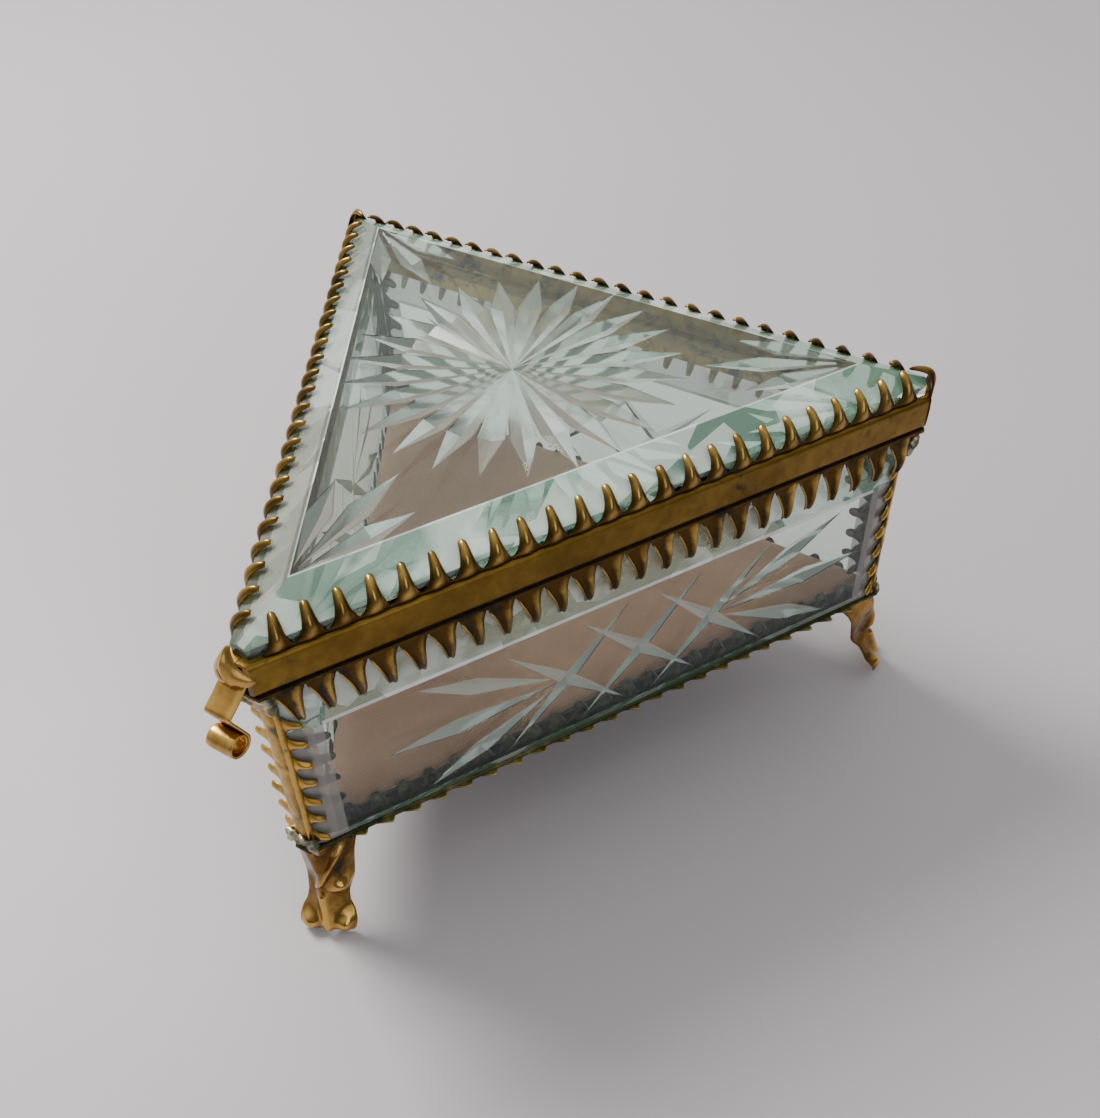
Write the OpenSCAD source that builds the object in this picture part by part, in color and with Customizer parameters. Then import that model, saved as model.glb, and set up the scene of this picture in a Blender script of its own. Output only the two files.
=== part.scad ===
// Three-sided glass casket: bevelled cut-glass panes held by stamped brass claws,
// a hinged glass lid with a rolled thumb lift, a padded floor and three leaf feet.
// Millimetres. +Z is up, the feet stand on Z = 0, the thumb lift points to -Y.

/* [Overall] */
// Side of the triangle on the lid's outer faces, measured to its sharp corners
side = 165; // [140:1:200]
// Height of the side panes
pane_h = 50.6; // [40:0.1:64]
// Height of the feet
foot_h = 25; // [21:0.5:32]

/* [Glass] */
// Thickness of the side panes
pane_t = 4; // [3.6:0.1:5]
// Depth that the bevels take off a pane's edge
bevel_depth = 2; // [1:0.1:2.4]
// Width of the bevel along a pane's top edge
top_bevel_w = 14; // [8:0.5:18]
// Width of the bevel along a pane's bottom edge
bottom_bevel_w = 3; // [2:0.5:8]
// Width of the bevel on a pane's upright edges
upright_bevel_w = 6; // [4:0.5:9]
// Thickness of the lid glass in its flat middle
lid_glass_t = 7.2; // [5:0.1:9]
// Thickness of the lid glass at its rim
lid_rim_t = 2.6; // [2:0.1:4]
// Width of the lid's bevel
lid_bevel_w = 9; // [6:0.5:12]
// Thickness of the glass floor
floor_glass_t = 3; // [2:0.1:4]

/* [Cut pattern] */
// Number of rays of the star on the lid
star_rays = 24; // [12:2:30]
// Radius of the star
star_r = 37.5; // [24:0.5:42]
// Depth of the cuts
cut_depth = 0.9; // [0.4:0.1:1.2]
// Distance between the crossings of the lattice on the side panes
lattice_pitch = 18.4; // [12:0.2:20]
// How far the pattern of a pane sits off its middle
pattern_shift = 5; // [0:0.5:6]

/* [Brass strip] */
// Height of the lid's outer band
band_h = 8; // [6:0.1:10]
// Thickness of the lid's band
band_t = 1.4; // [1.2:0.1:2]
// Thickness of the flat brass strip
strip_t = 0.8; // [0.6:0.1:1]
// Width of the ledge that carries the lid glass
ledge_w = 5; // [4:0.1:7]
// Width of the strips under the panes
sole_w = 9.5; // [9:0.1:12]

/* [Claw galleries] */
// Distance between claws
claw_pitch = 6.15; // [5.25:0.05:7]
// Plain length left at each corner of a gallery
gallery_end = 8; // [8:0.1:12]
// Thickness of the stamped sheet
claw_t = 0.55; // [0.4:0.05:0.7]
// How far the rib stands proud in the middle of a claw
claw_rib = 0.5; // [0.2:0.05:0.8]
// Drop of the claws that clasp the panes
pane_claw_h = 9.6; // [7:0.1:12]
// Height of the claws inside, behind the panes
inner_claw_h = 7.6; // [4:0.1:9]
// Number of fingers on each side of a corner post
post_fingers = 7; // [5:1:7]

/* [Feet and corners] */
// Wall of the stamped feet
foot_wall = 1.1; // [0.9:0.1:1.4]
// Number of leaf fingers on each side of an inner upright
leaf_fingers = 6; // [4:1:7]

/* [Hinge] */
// Number of hinge knuckles
knuckle_n = 5; // [3:2:5]
// Length of one knuckle
knuckle_len = 14; // [10:0.5:18]
// Outer diameter of the knuckles
knuckle_d = 3.2; // [3:0.1:4]
// Diameter of the hinge pin
pin_d = 1.5; // [1.2:0.1:1.8]
// Radial clearance of the pin in the knuckles
pin_clear = 0.05; // [0.03:0.01:0.1]

/* [Thumb lift] */
// Width of the strip
lift_w = 5.2; // [4:0.2:7]
// Radius of the roll at its end
roll_r = 2; // [1.6:0.1:2.4]

/* [Pad] */
// Thickness of the pad at its middle
pad_h = 6; // [4:0.5:10]

/* [Fits] */
// Gap between brass and the glass that it holds
seat = 0.12; // [0.05:0.01:0.2]
// Gap between the closed lid and the base
lid_gap = 0.3; // [0.2:0.05:0.5]
// Half of the solder line between mitred strips
mitre_gap = 0.05; // [0.03:0.01:0.1]

/* [Hidden] */
$fn = 48;
EPS = 0.01;
SKIN = 0.05;
T30 = tan(30);
C30 = cos(30);
inradius = side / 2 * T30;
circumradius = inradius * 2;

// Sides and corners by the angle that turns the front one into place
RIGHT = 60;
BACK = 180;
LEFT = 300;
FRONT_CORNER = 0;
RIGHT_CORNER = 120;
LEFT_CORNER = 240;

// Distances inwards from the band's outer plane
pane_y = 1.5;
pane_in = pane_y + pane_t;
lid_glass_y = band_t + 0.2;
floor_y = pane_in + 1.9;

// Distances of the corner cuts from the sharp corner, along its bisector
lid_cut = 5;
lid_glass_cut = lid_cut + 1.3;
pane_cut = 8.8;
rail_cut = 5;

// Heights
sole_z = foot_h;
base_z = sole_z + strip_t + seat;
pane_z1 = base_z + pane_h;
rail_z = pane_z1 + seat;
rail_top = rail_z + strip_t;
lid_z = rail_top + lid_gap;
band_top = lid_z + band_h;
glass_z = band_top + seat;
rim_z = glass_z + lid_rim_t;
lid_top = glass_z + lid_glass_t;
floor_z = sole_z + strip_t + seat;
pad_z = floor_z + floor_glass_t + seat;

claw_n = floor((side - 2 * gallery_end) / claw_pitch);
inner_n = floor((side - 28) / claw_pitch);

// Hinge axis, in the frame of the back side
hinge_y = -0.2 - knuckle_d / 2;
hinge_z = rail_top + lid_gap / 2;
knuckle_gap = 0.15;

// Thumb lift, in the frame of the front corner
fold_r = 1.1;
fold = [-1.1, band_top - 7.24];
lift_slope = 35;
fold_end = 204;
fall = 6.4;
lift_len = 6.6;
roll_turn = 285;
roll_c = [
    fold[0] + fold_r * cos(fold_end) + fall * cos(fold_end + 90) + roll_r * cos(fold_end),
    fold[1] + fold_r * sin(fold_end) + fall * sin(fold_end + 90) + roll_r * sin(fold_end)
];

// The whole is set back so that its bounding box is centred on the origin
reach_front = circumradius - roll_c[0] + roll_r + strip_t / 2;
reach_back = inradius - hinge_y + knuckle_d / 2;
set_y = (reach_front - reach_back) / 2;

// ---- Frames ----

// Local frame of a side: X along it, Y inwards from the band's outer plane
module on_side(angle) {
    translate([0, set_y, 0])
        rotate([0, 0, angle])
            translate([0, -inradius, 0])
                children();
}

// Local frame of a corner: Y inwards along its bisector from the sharp corner
module at_corner(angle) {
    translate([0, set_y, 0])
        rotate([0, 0, angle])
            translate([0, -circumradius, 0])
                children();
}

// Runs a profile drawn in (Y, Z) along X, centred
module run_along(length) {
    translate([-length / 2, 0, 0])
        rotate([90, 0, 90])
            linear_extrude(length)
                children();
}

// Plan of what belongs to one side: mitred at the bisectors, cut off at each corner
module side_plan(cut) {
    out = 6;
    h = side / 2;
    wide = h - (cut + out / 2) / C30;
    translate([0, -mitre_gap * 2])
        polygon([
            [-wide, -out], [wide, -out], [h - cut * C30, cut / 2],
            [0, h * T30], [-h + cut * C30, cut / 2]
        ]);
}

module in_plan(cut) {
    intersection() {
        children();
        linear_extrude(lid_top + 10) side_plan(cut);
    }
}

// Triangle of the whole box in plan, set in from the sides, with rounded corners
module round_triangle(inset, corner) {
    r = 2 * (inradius - inset - corner);
    for (a = [0, 120, 240]) {
        rotate(a) translate([0, -r]) circle(r = corner);
    }
    polygon([for (a = [0, 120, 240], s = [-60, 60]) [
        r * sin(a) + corner * sin(a + s), -r * cos(a) - corner * cos(a + s)
    ]]);
}

// ---- Glass ----

// One V cut: a leaf outline on the plane Z = 0 from the origin along X, deepest at its widest
module leaf_cut(length, width, at, depth) {
    proud = 0.6;
    k = 1 + proud / depth;
    xw = length * at;
    outline = [[0, 0], [xw, width / 2], [length, 0], [xw, -width / 2]];
    polyhedron(
        points = concat(
            [for (p = outline) [xw + (p[0] - xw) * k, p[1] * k, proud]],
            [[xw, 0, -depth]]
        ),
        faces = [[0, 1, 2, 3], [1, 0, 4], [2, 1, 4], [3, 2, 4], [0, 3, 4]]
    );
}

// The cut from point p to point q of the plane
module cut_between(p, q, width, at = 0.6, start = 0) {
    d = q - p;
    translate([p[0], p[1], 0])
        rotate([0, 0, atan2(d[1], d[0])])
            translate([start, 0, 0])
                leaf_cut(norm(d) - start, width, at, cut_depth);
}

// The star as one cutter: ridges between its rays run just below the face near the centre
module star_cut(r) {
    n = star_rays;
    step = 360 / n;
    proud = 0.5;
    wide = r * 0.66;
    far = r * (1 + proud / cut_depth * 0.34) + 0.2;
    function on(radius, i, z) = [radius * cos(i * step), radius * sin(i * step), z];
    points = concat(
        [[0, 0, -0.3], [0, 0, proud]],
        [for (i = [0:n - 1]) on(wide, i + 0.5, -cut_depth)],
        [for (i = [0:n - 1]) on(wide * 1.02, i, 0.12)],
        [for (i = [0:n - 1]) on(far, i + 0.5, proud)]
    );
    function deep(i) = 2 + i % n;
    function ridge(i) = 2 + n + i % n;
    function tip(i) = 2 + 2 * n + i % n;
    polyhedron(
        points = points,
        faces = [for (i = [0:n - 1], f = [
            [0, ridge(i), deep(i)], [0, deep(i), ridge(i + 1)],
            [ridge(i), tip(i), deep(i)], [ridge(i + 1), deep(i), tip(i)],
            [1, tip(i), ridge(i)], [1, ridge(i + 1), tip(i)]
        ]) f]
    );
}

// Lattice of six long cuts between two half daisies, drawn on a pane's face
module pane_cuts() {
    z_mid = (pane_h - top_bevel_w + bottom_bevel_w) / 2 - 0.5;
    sz = (pane_h - top_bevel_w - bottom_bevel_w) / 33.6;
    room = side / 2 - 14 - 3 - lattice_pitch - pattern_shift;
    sx = min(room / 41, 1.2);
    mid = [pattern_shift, z_mid];
    reach = [15 * sx, 15.5 * sz];
    for (i = [-1:1]) {
        c = mid + [i * lattice_pitch, 0];
        for (s = [-1, 1]) {
            d = [reach[0], s * reach[1]];
            cut_between(c - d, c + d, 3.6, 0.5);
        }
    }
    for (s = [-1, 1], leaf = [[0, 41], [25, 37], [-25, 37]]) {
        c = mid + [s * lattice_pitch, 0];
        tip = c + [s * leaf[1] * cos(leaf[0]) * sx, leaf[1] * sin(leaf[0]) * sz];
        cut_between(c, tip, 5, 0.6, 2.4);
    }
}

// Pane in the frame of its side: bevelled all round, mitred behind, cut pattern outside
module pane() {
    edge_y = pane_y + bevel_depth;
    foot_y = pane_y + bevel_depth * min(1, bottom_bevel_w / 6);
    edge_x = (pane_cut - edge_y / 2) / C30;
    h = side / 2;
    difference() {
        intersection() {
            run_along(side)
                polygon([
                    [foot_y, base_z], [pane_in, base_z], [pane_in, pane_z1], [edge_y, pane_z1],
                    [pane_y, pane_z1 - top_bevel_w], [pane_y, base_z + bottom_bevel_w]
                ]);
            linear_extrude(pane_z1 + 1)
                polygon([
                    [-h + edge_x - 3, edge_y + bevel_depth * 3 / upright_bevel_w],
                    [-h + edge_x + upright_bevel_w, pane_y], [h - edge_x - upright_bevel_w, pane_y],
                    [h - edge_x + 3, edge_y + bevel_depth * 3 / upright_bevel_w],
                    [h - edge_x + 3, 12], [-h + edge_x - 3, 12]
                ]);
            linear_extrude(pane_z1 + 1) side_plan(pane_cut);
        }
        translate([0, pane_y, base_z])
            rotate([90, 0, 0])
                pane_cuts();
    }
}

// Lid glass in the frame of the whole: bevelled plate with the star and three corner fans
module lid_plate() {
    flat = lid_glass_y + lid_bevel_w;
    drop = lid_glass_t - lid_rim_t;
    far = 20;
    top_y = flat + far;
    corner_in = 2 * (inradius - flat);
    star = min(star_r, inradius - flat + 0.5);
    fan = circumradius - star - 2 * flat - 3.5;
    translate([0, set_y, 0])
        difference() {
            translate([0, 0, glass_z]) linear_extrude(lid_glass_t) lid_outline();
            for (a = [60, 180, 300]) {
                rotate([0, 0, a])
                    translate([0, -inradius, 0])
                        run_along(side * 1.2)
                            polygon([
                                [flat, lid_top], [lid_glass_y, rim_z],
                                [lid_glass_y - 9, rim_z - drop * 9 / lid_bevel_w],
                                [lid_glass_y - 9, lid_top + 5], [flat, lid_top + 5]
                            ]);
            }
            translate([0, 0, lid_top]) star_cut(star);
            for (a = [0, 120, 240], s = [-21, 0, 21]) {
                rotate([0, 0, a])
                    translate([0, -corner_in, lid_top])
                        rotate([0, 0, 90 + s])
                            translate([2.2, 0, 0])
                                leaf_cut((s == 0 ? fan : fan * 0.82) - 2.2, 5.6, 0.6, cut_depth);
            }
        }
}

module lid_outline() {
    polygon([
        for (a = [0, 120, 240], s = [-1, 1]) corner_point(a, s, lid_glass_y, lid_glass_cut)
    ]);
}

// Where the corner cut meets the line set in from a side, around the centre
function corner_point(a, s, inset, cut) =
    let (d = circumradius - cut, w = (cut - 2 * inset) * T30)
    [d * sin(a) + s * w * cos(a), -d * cos(a) + s * w * sin(a)];

// ---- Stamped claws ----

// One stamped row, drawn pointing up with its face to -Y. Each level is
// [depth, height, half width, rib, lean] of the back surface; the first two are the plain strip.
module claw_row(n, pitch, levels, thick, end = 0) {
    last = len(levels) - 1;
    own = 2 * (3 * n + 2);
    function at(l) = [levels[l][0], levels[l][1]];
    function along(l) = at(min(l + 1, last)) - at(max(l - 1, 0));
    function out(l) = [-along(l)[1], along(l)[0]] / norm(along(l));
    function face(l, t) = at(l) + out(l) * t;
    function edge_x(e) = (e - n / 2) * pitch + (e == 0 ? -end : e == n ? end : 0);
    function mid_x(i) = (i - (n - 1) / 2) * pitch;
    function strip_points(l) = concat(
        [for (e = [0:n]) [edge_x(e), face(l, thick)[0], face(l, thick)[1]]],
        [for (e = [0:n]) [edge_x(e), at(l)[0], at(l)[1]]],
        [for (i = [0:n - 1]) [
            mid_x(i) + levels[l][4],
            face(l, thick + levels[l][3])[0], face(l, thick + levels[l][3])[1]
        ]]
    );
    function claw_points(l, i) = [
        [mid_x(i) + levels[l][4] - levels[l][2], face(l, thick)[0], face(l, thick)[1]],
        [
            mid_x(i) + levels[l][4],
            face(l, thick + levels[l][3])[0], face(l, thick + levels[l][3])[1]
        ],
        [mid_x(i) + levels[l][4] + levels[l][2], face(l, thick)[0], face(l, thick)[1]],
        [mid_x(i) + levels[l][4] + levels[l][2], at(l)[0], at(l)[1]],
        [mid_x(i) + levels[l][4] - levels[l][2], at(l)[0], at(l)[1]]
    ];
    function f_id(l, e) = l * (3 * n + 2) + e;
    function b_id(l, e) = l * (3 * n + 2) + n + 1 + e;
    function r_id(l, i) = l * (3 * n + 2) + 2 * (n + 1) + i;
    function ids(l, i) = l == 1
        ? [f_id(1, i), r_id(1, i), f_id(1, i + 1), b_id(1, i + 1), b_id(1, i)]
        : [for (k = [0:4]) own + ((l - 2) * n + i) * 5 + k];
    function quad(a, b, c, d) = [[a, b, c], [a, c, d]];
    points = concat(
        strip_points(0), strip_points(1),
        [for (l = [2:last], i = [0:n - 1], p = claw_points(l, i)) p]
    );
    strip = [for (i = [0:n - 1], f = concat(
        quad(f_id(0, i), f_id(1, i), r_id(1, i), r_id(0, i)),
        quad(r_id(0, i), r_id(1, i), f_id(1, i + 1), f_id(0, i + 1)),
        quad(b_id(0, i + 1), b_id(1, i + 1), b_id(1, i), b_id(0, i)),
        [
            [f_id(0, i), r_id(0, i), f_id(0, i + 1)],
            [f_id(0, i), f_id(0, i + 1), b_id(0, i + 1)],
            [f_id(0, i), b_id(0, i + 1), b_id(0, i)]
        ]
    )) f];
    claws = [for (i = [0:n - 1], l = [1:last - 1], k = [0:4], f = quad(
        ids(l, i)[k], ids(l + 1, i)[k], ids(l + 1, i)[(k + 1) % 5], ids(l, i)[(k + 1) % 5]
    )) f];
    tips = [for (i = [0:n - 1], f = [
        [ids(last, i)[0], ids(last, i)[4], ids(last, i)[3]],
        [ids(last, i)[0], ids(last, i)[3], ids(last, i)[2]],
        [ids(last, i)[0], ids(last, i)[2], ids(last, i)[1]]
    ]) f];
    ends = concat(
        quad(b_id(0, 0), b_id(1, 0), f_id(1, 0), f_id(0, 0)),
        quad(f_id(0, n), f_id(1, n), b_id(1, n), b_id(0, n))
    );
    polyhedron(points = points, faces = concat(strip, claws, tips, ends));
}

// Claws that rise from the lid's band and bend over the bevel of its glass
module lid_gallery(angle) {
    k = (lid_glass_t - lid_rim_t) / lid_bevel_w;
    lift = lid_rim_t - 2.6;
    over = rim_z + 0.3;
    y0 = lid_glass_y - 0.35;
    on_side(angle)
        claw_row(claw_n, claw_pitch, [
            [y0, band_top + seat, claw_pitch / 2, 0.1, 0],
            [y0, band_top + 1.1, claw_pitch / 2, 0.35, 0],
            [y0, band_top + 2.3 + lift, 1.9, claw_rib + 0.2, -0.1],
            [lid_glass_y + 0.1, over + 0.1 * k + 0.1, 1.45, claw_rib + 0.2, -0.35],
            [lid_glass_y + 1.9, over + 1.9 * k, 1, claw_rib, -0.7],
            [lid_glass_y + 3.8, over + 3.8 * k - 0.05, 0.55, claw_rib - 0.2, -0.95]
        ], claw_t - 0.05);
}

// Claws that hang from the base rail and clasp the top bevel of a pane
module base_gallery(angle) {
    s = pane_claw_h / 9.6;
    t = bevel_depth / top_bevel_w;
    on_side(angle)
        translate([0, 0, rail_z - seat / 2])
            rotate([0, 180, 0])
                claw_row(claw_n, claw_pitch, [
                    [0.8, 0, claw_pitch / 2, 0.1, 0],
                    [0.8, 0.95, claw_pitch / 2, 0.35, 0],
                    [0.1, 2.6 * s, 1.9, claw_rib + 0.2, -0.05],
                    [-0.2, 5 * s, 1.4, claw_rib + 0.2, -0.15],
                    [0.4, 7.8 * s, 1, claw_rib, -0.3],
                    [pane_y + bevel_depth - 9.6 * s * t - 0.55, 9.6 * s, 0.6, claw_rib - 0.2, -0.4]
                ], claw_t);
}

// Scalloped claws that stand behind the foot of a pane
module inner_gallery(angle) {
    y = pane_in + claw_t + 0.2;
    on_side(angle)
        translate([0, 0, base_z])
            claw_row(inner_n, claw_pitch, [
                [y, 0, claw_pitch / 2, 0.08, 0],
                [y, inner_claw_h * 0.45, claw_pitch / 2, 0.08, 0],
                [y, inner_claw_h * 0.8, 2.2, 0.08, 0],
                [y, inner_claw_h, 0.9, 0.08, 0]
            ], claw_t);
}

// Fingers of a corner post over the upright bevel of one pane
module finger_row(side_sign) {
    xe = (pane_cut - (pane_y + bevel_depth) / 2) / C30;
    t = bevel_depth / upright_bevel_w;
    y0 = pane_y + bevel_depth - 0.15;
    pitch = (pane_h - pane_claw_h + 1.2) / post_fingers;
    translate([-side_sign * (side / 2 - xe), 0, base_z + 0.35 + post_fingers * pitch / 2])
        rotate([0, side_sign * 90, 0])
            claw_row(post_fingers, pitch, [
                [y0 - 0.15 * t, 0.1, pitch / 2, 0.1, 0],
                [y0 - 0.8 * t, 0.8, pitch / 2, 0.3, 0],
                [y0 - 1.5 * t, 1.5, 2.2, claw_rib, 0.15],
                [y0 - 2.6 * t, 2.6, 1.8, claw_rib, 0.35],
                [y0 - 3.4 * t, 3.4, 0.9, claw_rib - 0.3, 0.4]
            ], claw_t);
}

// ---- Brass strip ----

module lid_band(angle) {
    crest = min(1.2, band_t);
    on_side(angle)
        in_plan(lid_cut)
            run_along(side)
                union() {
                    intersection() {
                        union() {
                            translate([crest, lid_z + crest]) circle(r = crest);
                            translate([crest, band_top - crest]) circle(r = crest);
                            translate([0, lid_z + crest]) square([band_t, band_h - 2 * crest]);
                            translate([crest, lid_z]) square([band_t, band_h]);
                        }
                        translate([0, lid_z]) square([band_t, band_h]);
                    }
                    translate([crest, band_top - strip_t]) square([ledge_w - crest, strip_t]);
                }
}

// Rail over the panes: its flange carries the claws, its inner leg stands behind the glass
module base_rail(angle, notch = 0) {
    leg = 3.2;
    on_side(angle)
        in_plan(rail_cut)
            difference() {
                run_along(side)
                    union() {
                        translate([-0.1, rail_z]) square([pane_in + seat + strip_t + 0.1, strip_t]);
                        translate([pane_in + seat, rail_z - leg]) square([strip_t, leg + strip_t]);
                    }
                if (notch > 0) {
                    translate([-notch / 2 - 0.1, -1, rail_z - 1])
                        cube([notch + 0.2, 2.05, strip_t + 2]);
                }
            }
}

// Strip under a pane, with the tips of its outer scallops bent up outside the pane's foot
module sole_strip(angle) {
    sole_y = pane_y + 0.4;
    on_side(angle)
        union() {
            in_plan(rail_cut + 2)
                run_along(side)
                    translate([sole_y, sole_z]) square([sole_w - sole_y, strip_t]);
            for (i = [1:claw_n - 2]) {
                translate([(i - (claw_n - 1) / 2) * claw_pitch, sole_y + 0.3, sole_z + 0.4])
                    rotate([-32, 0, 0])
                        translate([0, 0, -0.3])
                            linear_extrude(0.6)
                                polygon([
                                    [-1.7, 0], [-1.3, -0.7], [-0.3, -1.5], [0.5, -2.6],
                                    [1.1, -2.6], [1.3, -1.4], [1.7, -0.5], [1.8, 0]
                                ]);
            }
        }
}

// Upright at a corner: flat strip on the cut edges of two panes, rolled edges, two rows of fingers
module corner_post(angle) {
    ridge = 0.5;
    off = 1.95;
    y = pane_cut - 0.1 - strip_t / 2;
    union() {
        at_corner(angle)
            translate([0, y, base_z]) {
                translate([-off, -strip_t / 2, 0]) cube([2 * off, strip_t, pane_h]);
                for (s = [-1, 1]) {
                    translate([s * off, 0, 0]) cylinder(r = ridge, h = pane_h);
                }
            }
        on_side((angle + 60) % 360) finger_row(1);
        on_side((angle + 300) % 360) finger_row(-1);
    }
}

// Upright inside a corner: narrow strip with leaf fingers that lie behind the two panes
module inner_post(angle) {
    foot_z = base_z + inner_claw_h + 0.6;
    top_z = rail_z - 3.2 - seat;
    pitch = (top_z - foot_z) / leaf_fingers;
    y = pane_in + claw_t + 0.2;
    d = 2 * y + 0.9;
    reach = d * C30 + 0.3;
    union() {
        at_corner(angle)
            translate([-1, d - 0.3, base_z]) cube([2, 0.6, top_z - base_z]);
        for (s = [1, -1]) {
            on_side((angle + (s > 0 ? 60 : 300)) % 360)
                translate([-s * (side / 2 - reach), 0, (foot_z + top_z) / 2])
                    rotate([0, s * 90, 0])
                        claw_row(leaf_fingers, pitch, [
                            [y, 0, pitch / 2, 0.08, 0],
                            [y, 1, pitch / 2, 0.08, 0],
                            [y, 2.1, 1.8, 0.12, 0.1 * s],
                            [y, 3.6, 1.6, 0.12, 0.3 * s],
                            [y, 4.9, 0.7, 0.08, 0.5 * s]
                        ], claw_t);
        }
    }
}

// ---- Corner pieces of the lid ----

// Side view of a corner claw: a wall before the cut corner of the glass, bent over its bevel
module corner_claw_side(peak, reach, wall) {
    k = (lid_glass_t - lid_rim_t) / lid_bevel_w / 2;
    glass_at = rim_z + k * (lid_glass_cut - 2 * lid_glass_y);
    tip = rim_z + k * (reach - 2 * lid_glass_y);
    polygon([
        [wall, band_top + seat], [lid_glass_cut - 0.15, band_top + seat],
        [lid_glass_cut - 0.15, glass_at + 0.05], [lid_glass_cut + 0.6, glass_at + 0.45],
        [reach, tip + 0.2], [reach, tip + 1], [reach - 1.5, tip + 1.5],
        [wall + 2.6, peak], [wall + 0.9, peak - 0.3], [wall, peak - 1.4]
    ]);
}

// Its outline in plan: broad at the wall, rounded at the tip
module corner_claw_plan(half, wall, reach) {
    tip_r = 1.5;
    translate([-half, wall - 1]) square([2 * half, 7.1 - wall]);
    polygon([
        [-half, 6.1], [half, 6.1], [2.6, 8], [tip_r, reach - tip_r], [-tip_r, reach - tip_r],
        [-2.6, 8]
    ]);
    translate([0, reach - tip_r]) circle(r = tip_r);
}

module corner_claw(peak, half, wall, reach) {
    intersection() {
        rotate([90, 0, 90])
            translate([0, 0, -half])
                linear_extrude(2 * half)
                    corner_claw_side(peak, reach, wall);
        translate([0, 0, band_top])
            linear_extrude(20)
                corner_claw_plan(half, wall, reach);
    }
}

module lid_corner(angle) {
    at_corner(angle)
        union() {
            corner_claw(lid_top - 1.4, 2.8, lid_cut + 0.15, 10.6);
            corner_claw(lid_top - 0.8, 0.6, lid_cut - 0.25, 9.8);
        }
}

// Points of an arc about c, from angle a0 to a1
function arc_points(c, r, a0, a1, steps) =
    [for (i = [0:steps]) c + r * [
        cos(a0 + (a1 - a0) * i / steps), sin(a0 + (a1 - a0) * i / steps)
    ]];

// Path of the lift in (Y, Z): lid corner, fold, fall, roll
lift_points = let (
    s = lift_slope,
    turn = fold + fold_r * [-sin(s), cos(s)]
) concat(
    [turn + lift_len * [cos(s), sin(s)]],
    arc_points(fold, fold_r, 90 + s, fold_end, 7),
    arc_points(roll_c, roll_r, fold_end - 180, fold_end - 180 - roll_turn, 22)
);

// Strip of even thickness along a path
module strip_along(path, thick) {
    last = len(path) - 1;
    function dir(i) = let (d = path[min(i + 1, last)] - path[max(i - 1, 0)]) d / norm(d);
    function off(i, t) = path[i] + t * [-dir(i)[1], dir(i)[0]];
    polygon(concat(
        [for (i = [0:last]) off(i, thick / 2)],
        [for (i = [last:-1:0]) off(i, -thick / 2)]
    ));
}

// Boss of the thumb lift: a domed cone before the corner of the band, bent over the glass
module lift_boss(half, proud) {
    k = (lid_glass_t - lid_rim_t) / lid_bevel_w / 2;
    glass_at = rim_z + k * (lid_glass_cut - 2 * lid_glass_y);
    z0 = band_top - 3.8;
    z1 = lid_top - 2.2 + proud;
    y0 = 3.3 - proud;
    intersection() {
        rotate([90, 0, 90])
            translate([0, 0, -half])
                linear_extrude(2 * half)
                    polygon([
                        [y0, z0], [lid_cut - 0.15, z0], [lid_cut - 0.15, band_top + seat],
                        [lid_glass_cut - 0.15, band_top + seat],
                        [lid_glass_cut - 0.15, glass_at + 0.05], [7, glass_at + 0.5],
                        [8.3, glass_at + 0.8], [8.3, z1 - 0.8], [7.2, z1], [5.7, z1],
                        [y0 + 1, z1 - 1.6], [y0, z1 - 4.6], [y0 - 0.2, z0 + 1.4]
                    ]);
        translate([0, 0, z0])
            linear_extrude(20)
                hull() {
                    for (s = [-1, 1]) {
                        translate([s * (half - 0.8), y0 + 0.6]) circle(r = 0.8);
                        translate([s * (half - 0.8), 5.4]) circle(r = 0.8);
                        translate([s * (half * 0.5 - 0.25), 8]) circle(r = 0.3);
                    }
                }
    }
}

module thumb_lift() {
    at_corner(FRONT_CORNER)
        difference() {
            union() {
                rotate([90, 0, 90])
                    translate([0, 0, -lift_w / 2])
                        linear_extrude(lift_w)
                            strip_along(lift_points, strip_t);
                lift_boss(3.1, 0);
                // Ridge along the middle
                lift_boss(0.9, 0.5);
            }
            // Oval hole in the left flank
            translate([-1.9, 0, lid_top - 4.9])
                rotate([-90, 0, 0])
                    linear_extrude(lid_glass_cut - 0.3)
                        union() {
                            translate([0, -0.6]) circle(r = 0.6);
                            translate([0, 0.6]) circle(r = 0.6);
                            translate([-0.6, -0.6]) square([1.2, 1.2]);
                        }
        }
}

// ---- Hinge ----

knuckle_span = knuckle_n * knuckle_len;

function knuckle_x(i) = -knuckle_span / 2 + i * knuckle_len;

module knuckle(i) {
    translate([knuckle_x(i) + knuckle_gap / 2, hinge_y, hinge_z])
        rotate([0, 90, 0])
            cylinder(d = knuckle_d, h = knuckle_len - knuckle_gap);
}

// Room that a leaf leaves around the knuckles of the other one
module knuckle_room(i) {
    translate([knuckle_x(i) - knuckle_gap / 2, hinge_y, hinge_z])
        rotate([0, 90, 0])
            cylinder(r = knuckle_d / 2 + 0.35, h = knuckle_len + knuckle_gap);
}

module pin_bore() {
    translate([-knuckle_span, hinge_y, hinge_z])
        rotate([0, 90, 0])
            cylinder(r = pin_d / 2 + pin_clear, h = 2 * knuckle_span);
}

// Comb let into the back rail: a strip with a tab and a knuckle at every second place
module hinge_base_leaf() {
    on_side(BACK)
        difference() {
            union() {
                difference() {
                    translate([-knuckle_span / 2, -0.1, rail_z])
                        cube([knuckle_span, 1.1, strip_t]);
                    for (i = [1:2:knuckle_n - 2]) {
                        knuckle_room(i);
                    }
                }
                for (i = [0:2:knuckle_n - 1]) {
                    knuckle(i);
                    translate([knuckle_x(i) + knuckle_gap / 2, hinge_y, rail_z])
                        cube([knuckle_len - knuckle_gap, -hinge_y, strip_t]);
                }
            }
            pin_bore();
        }
}

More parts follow.
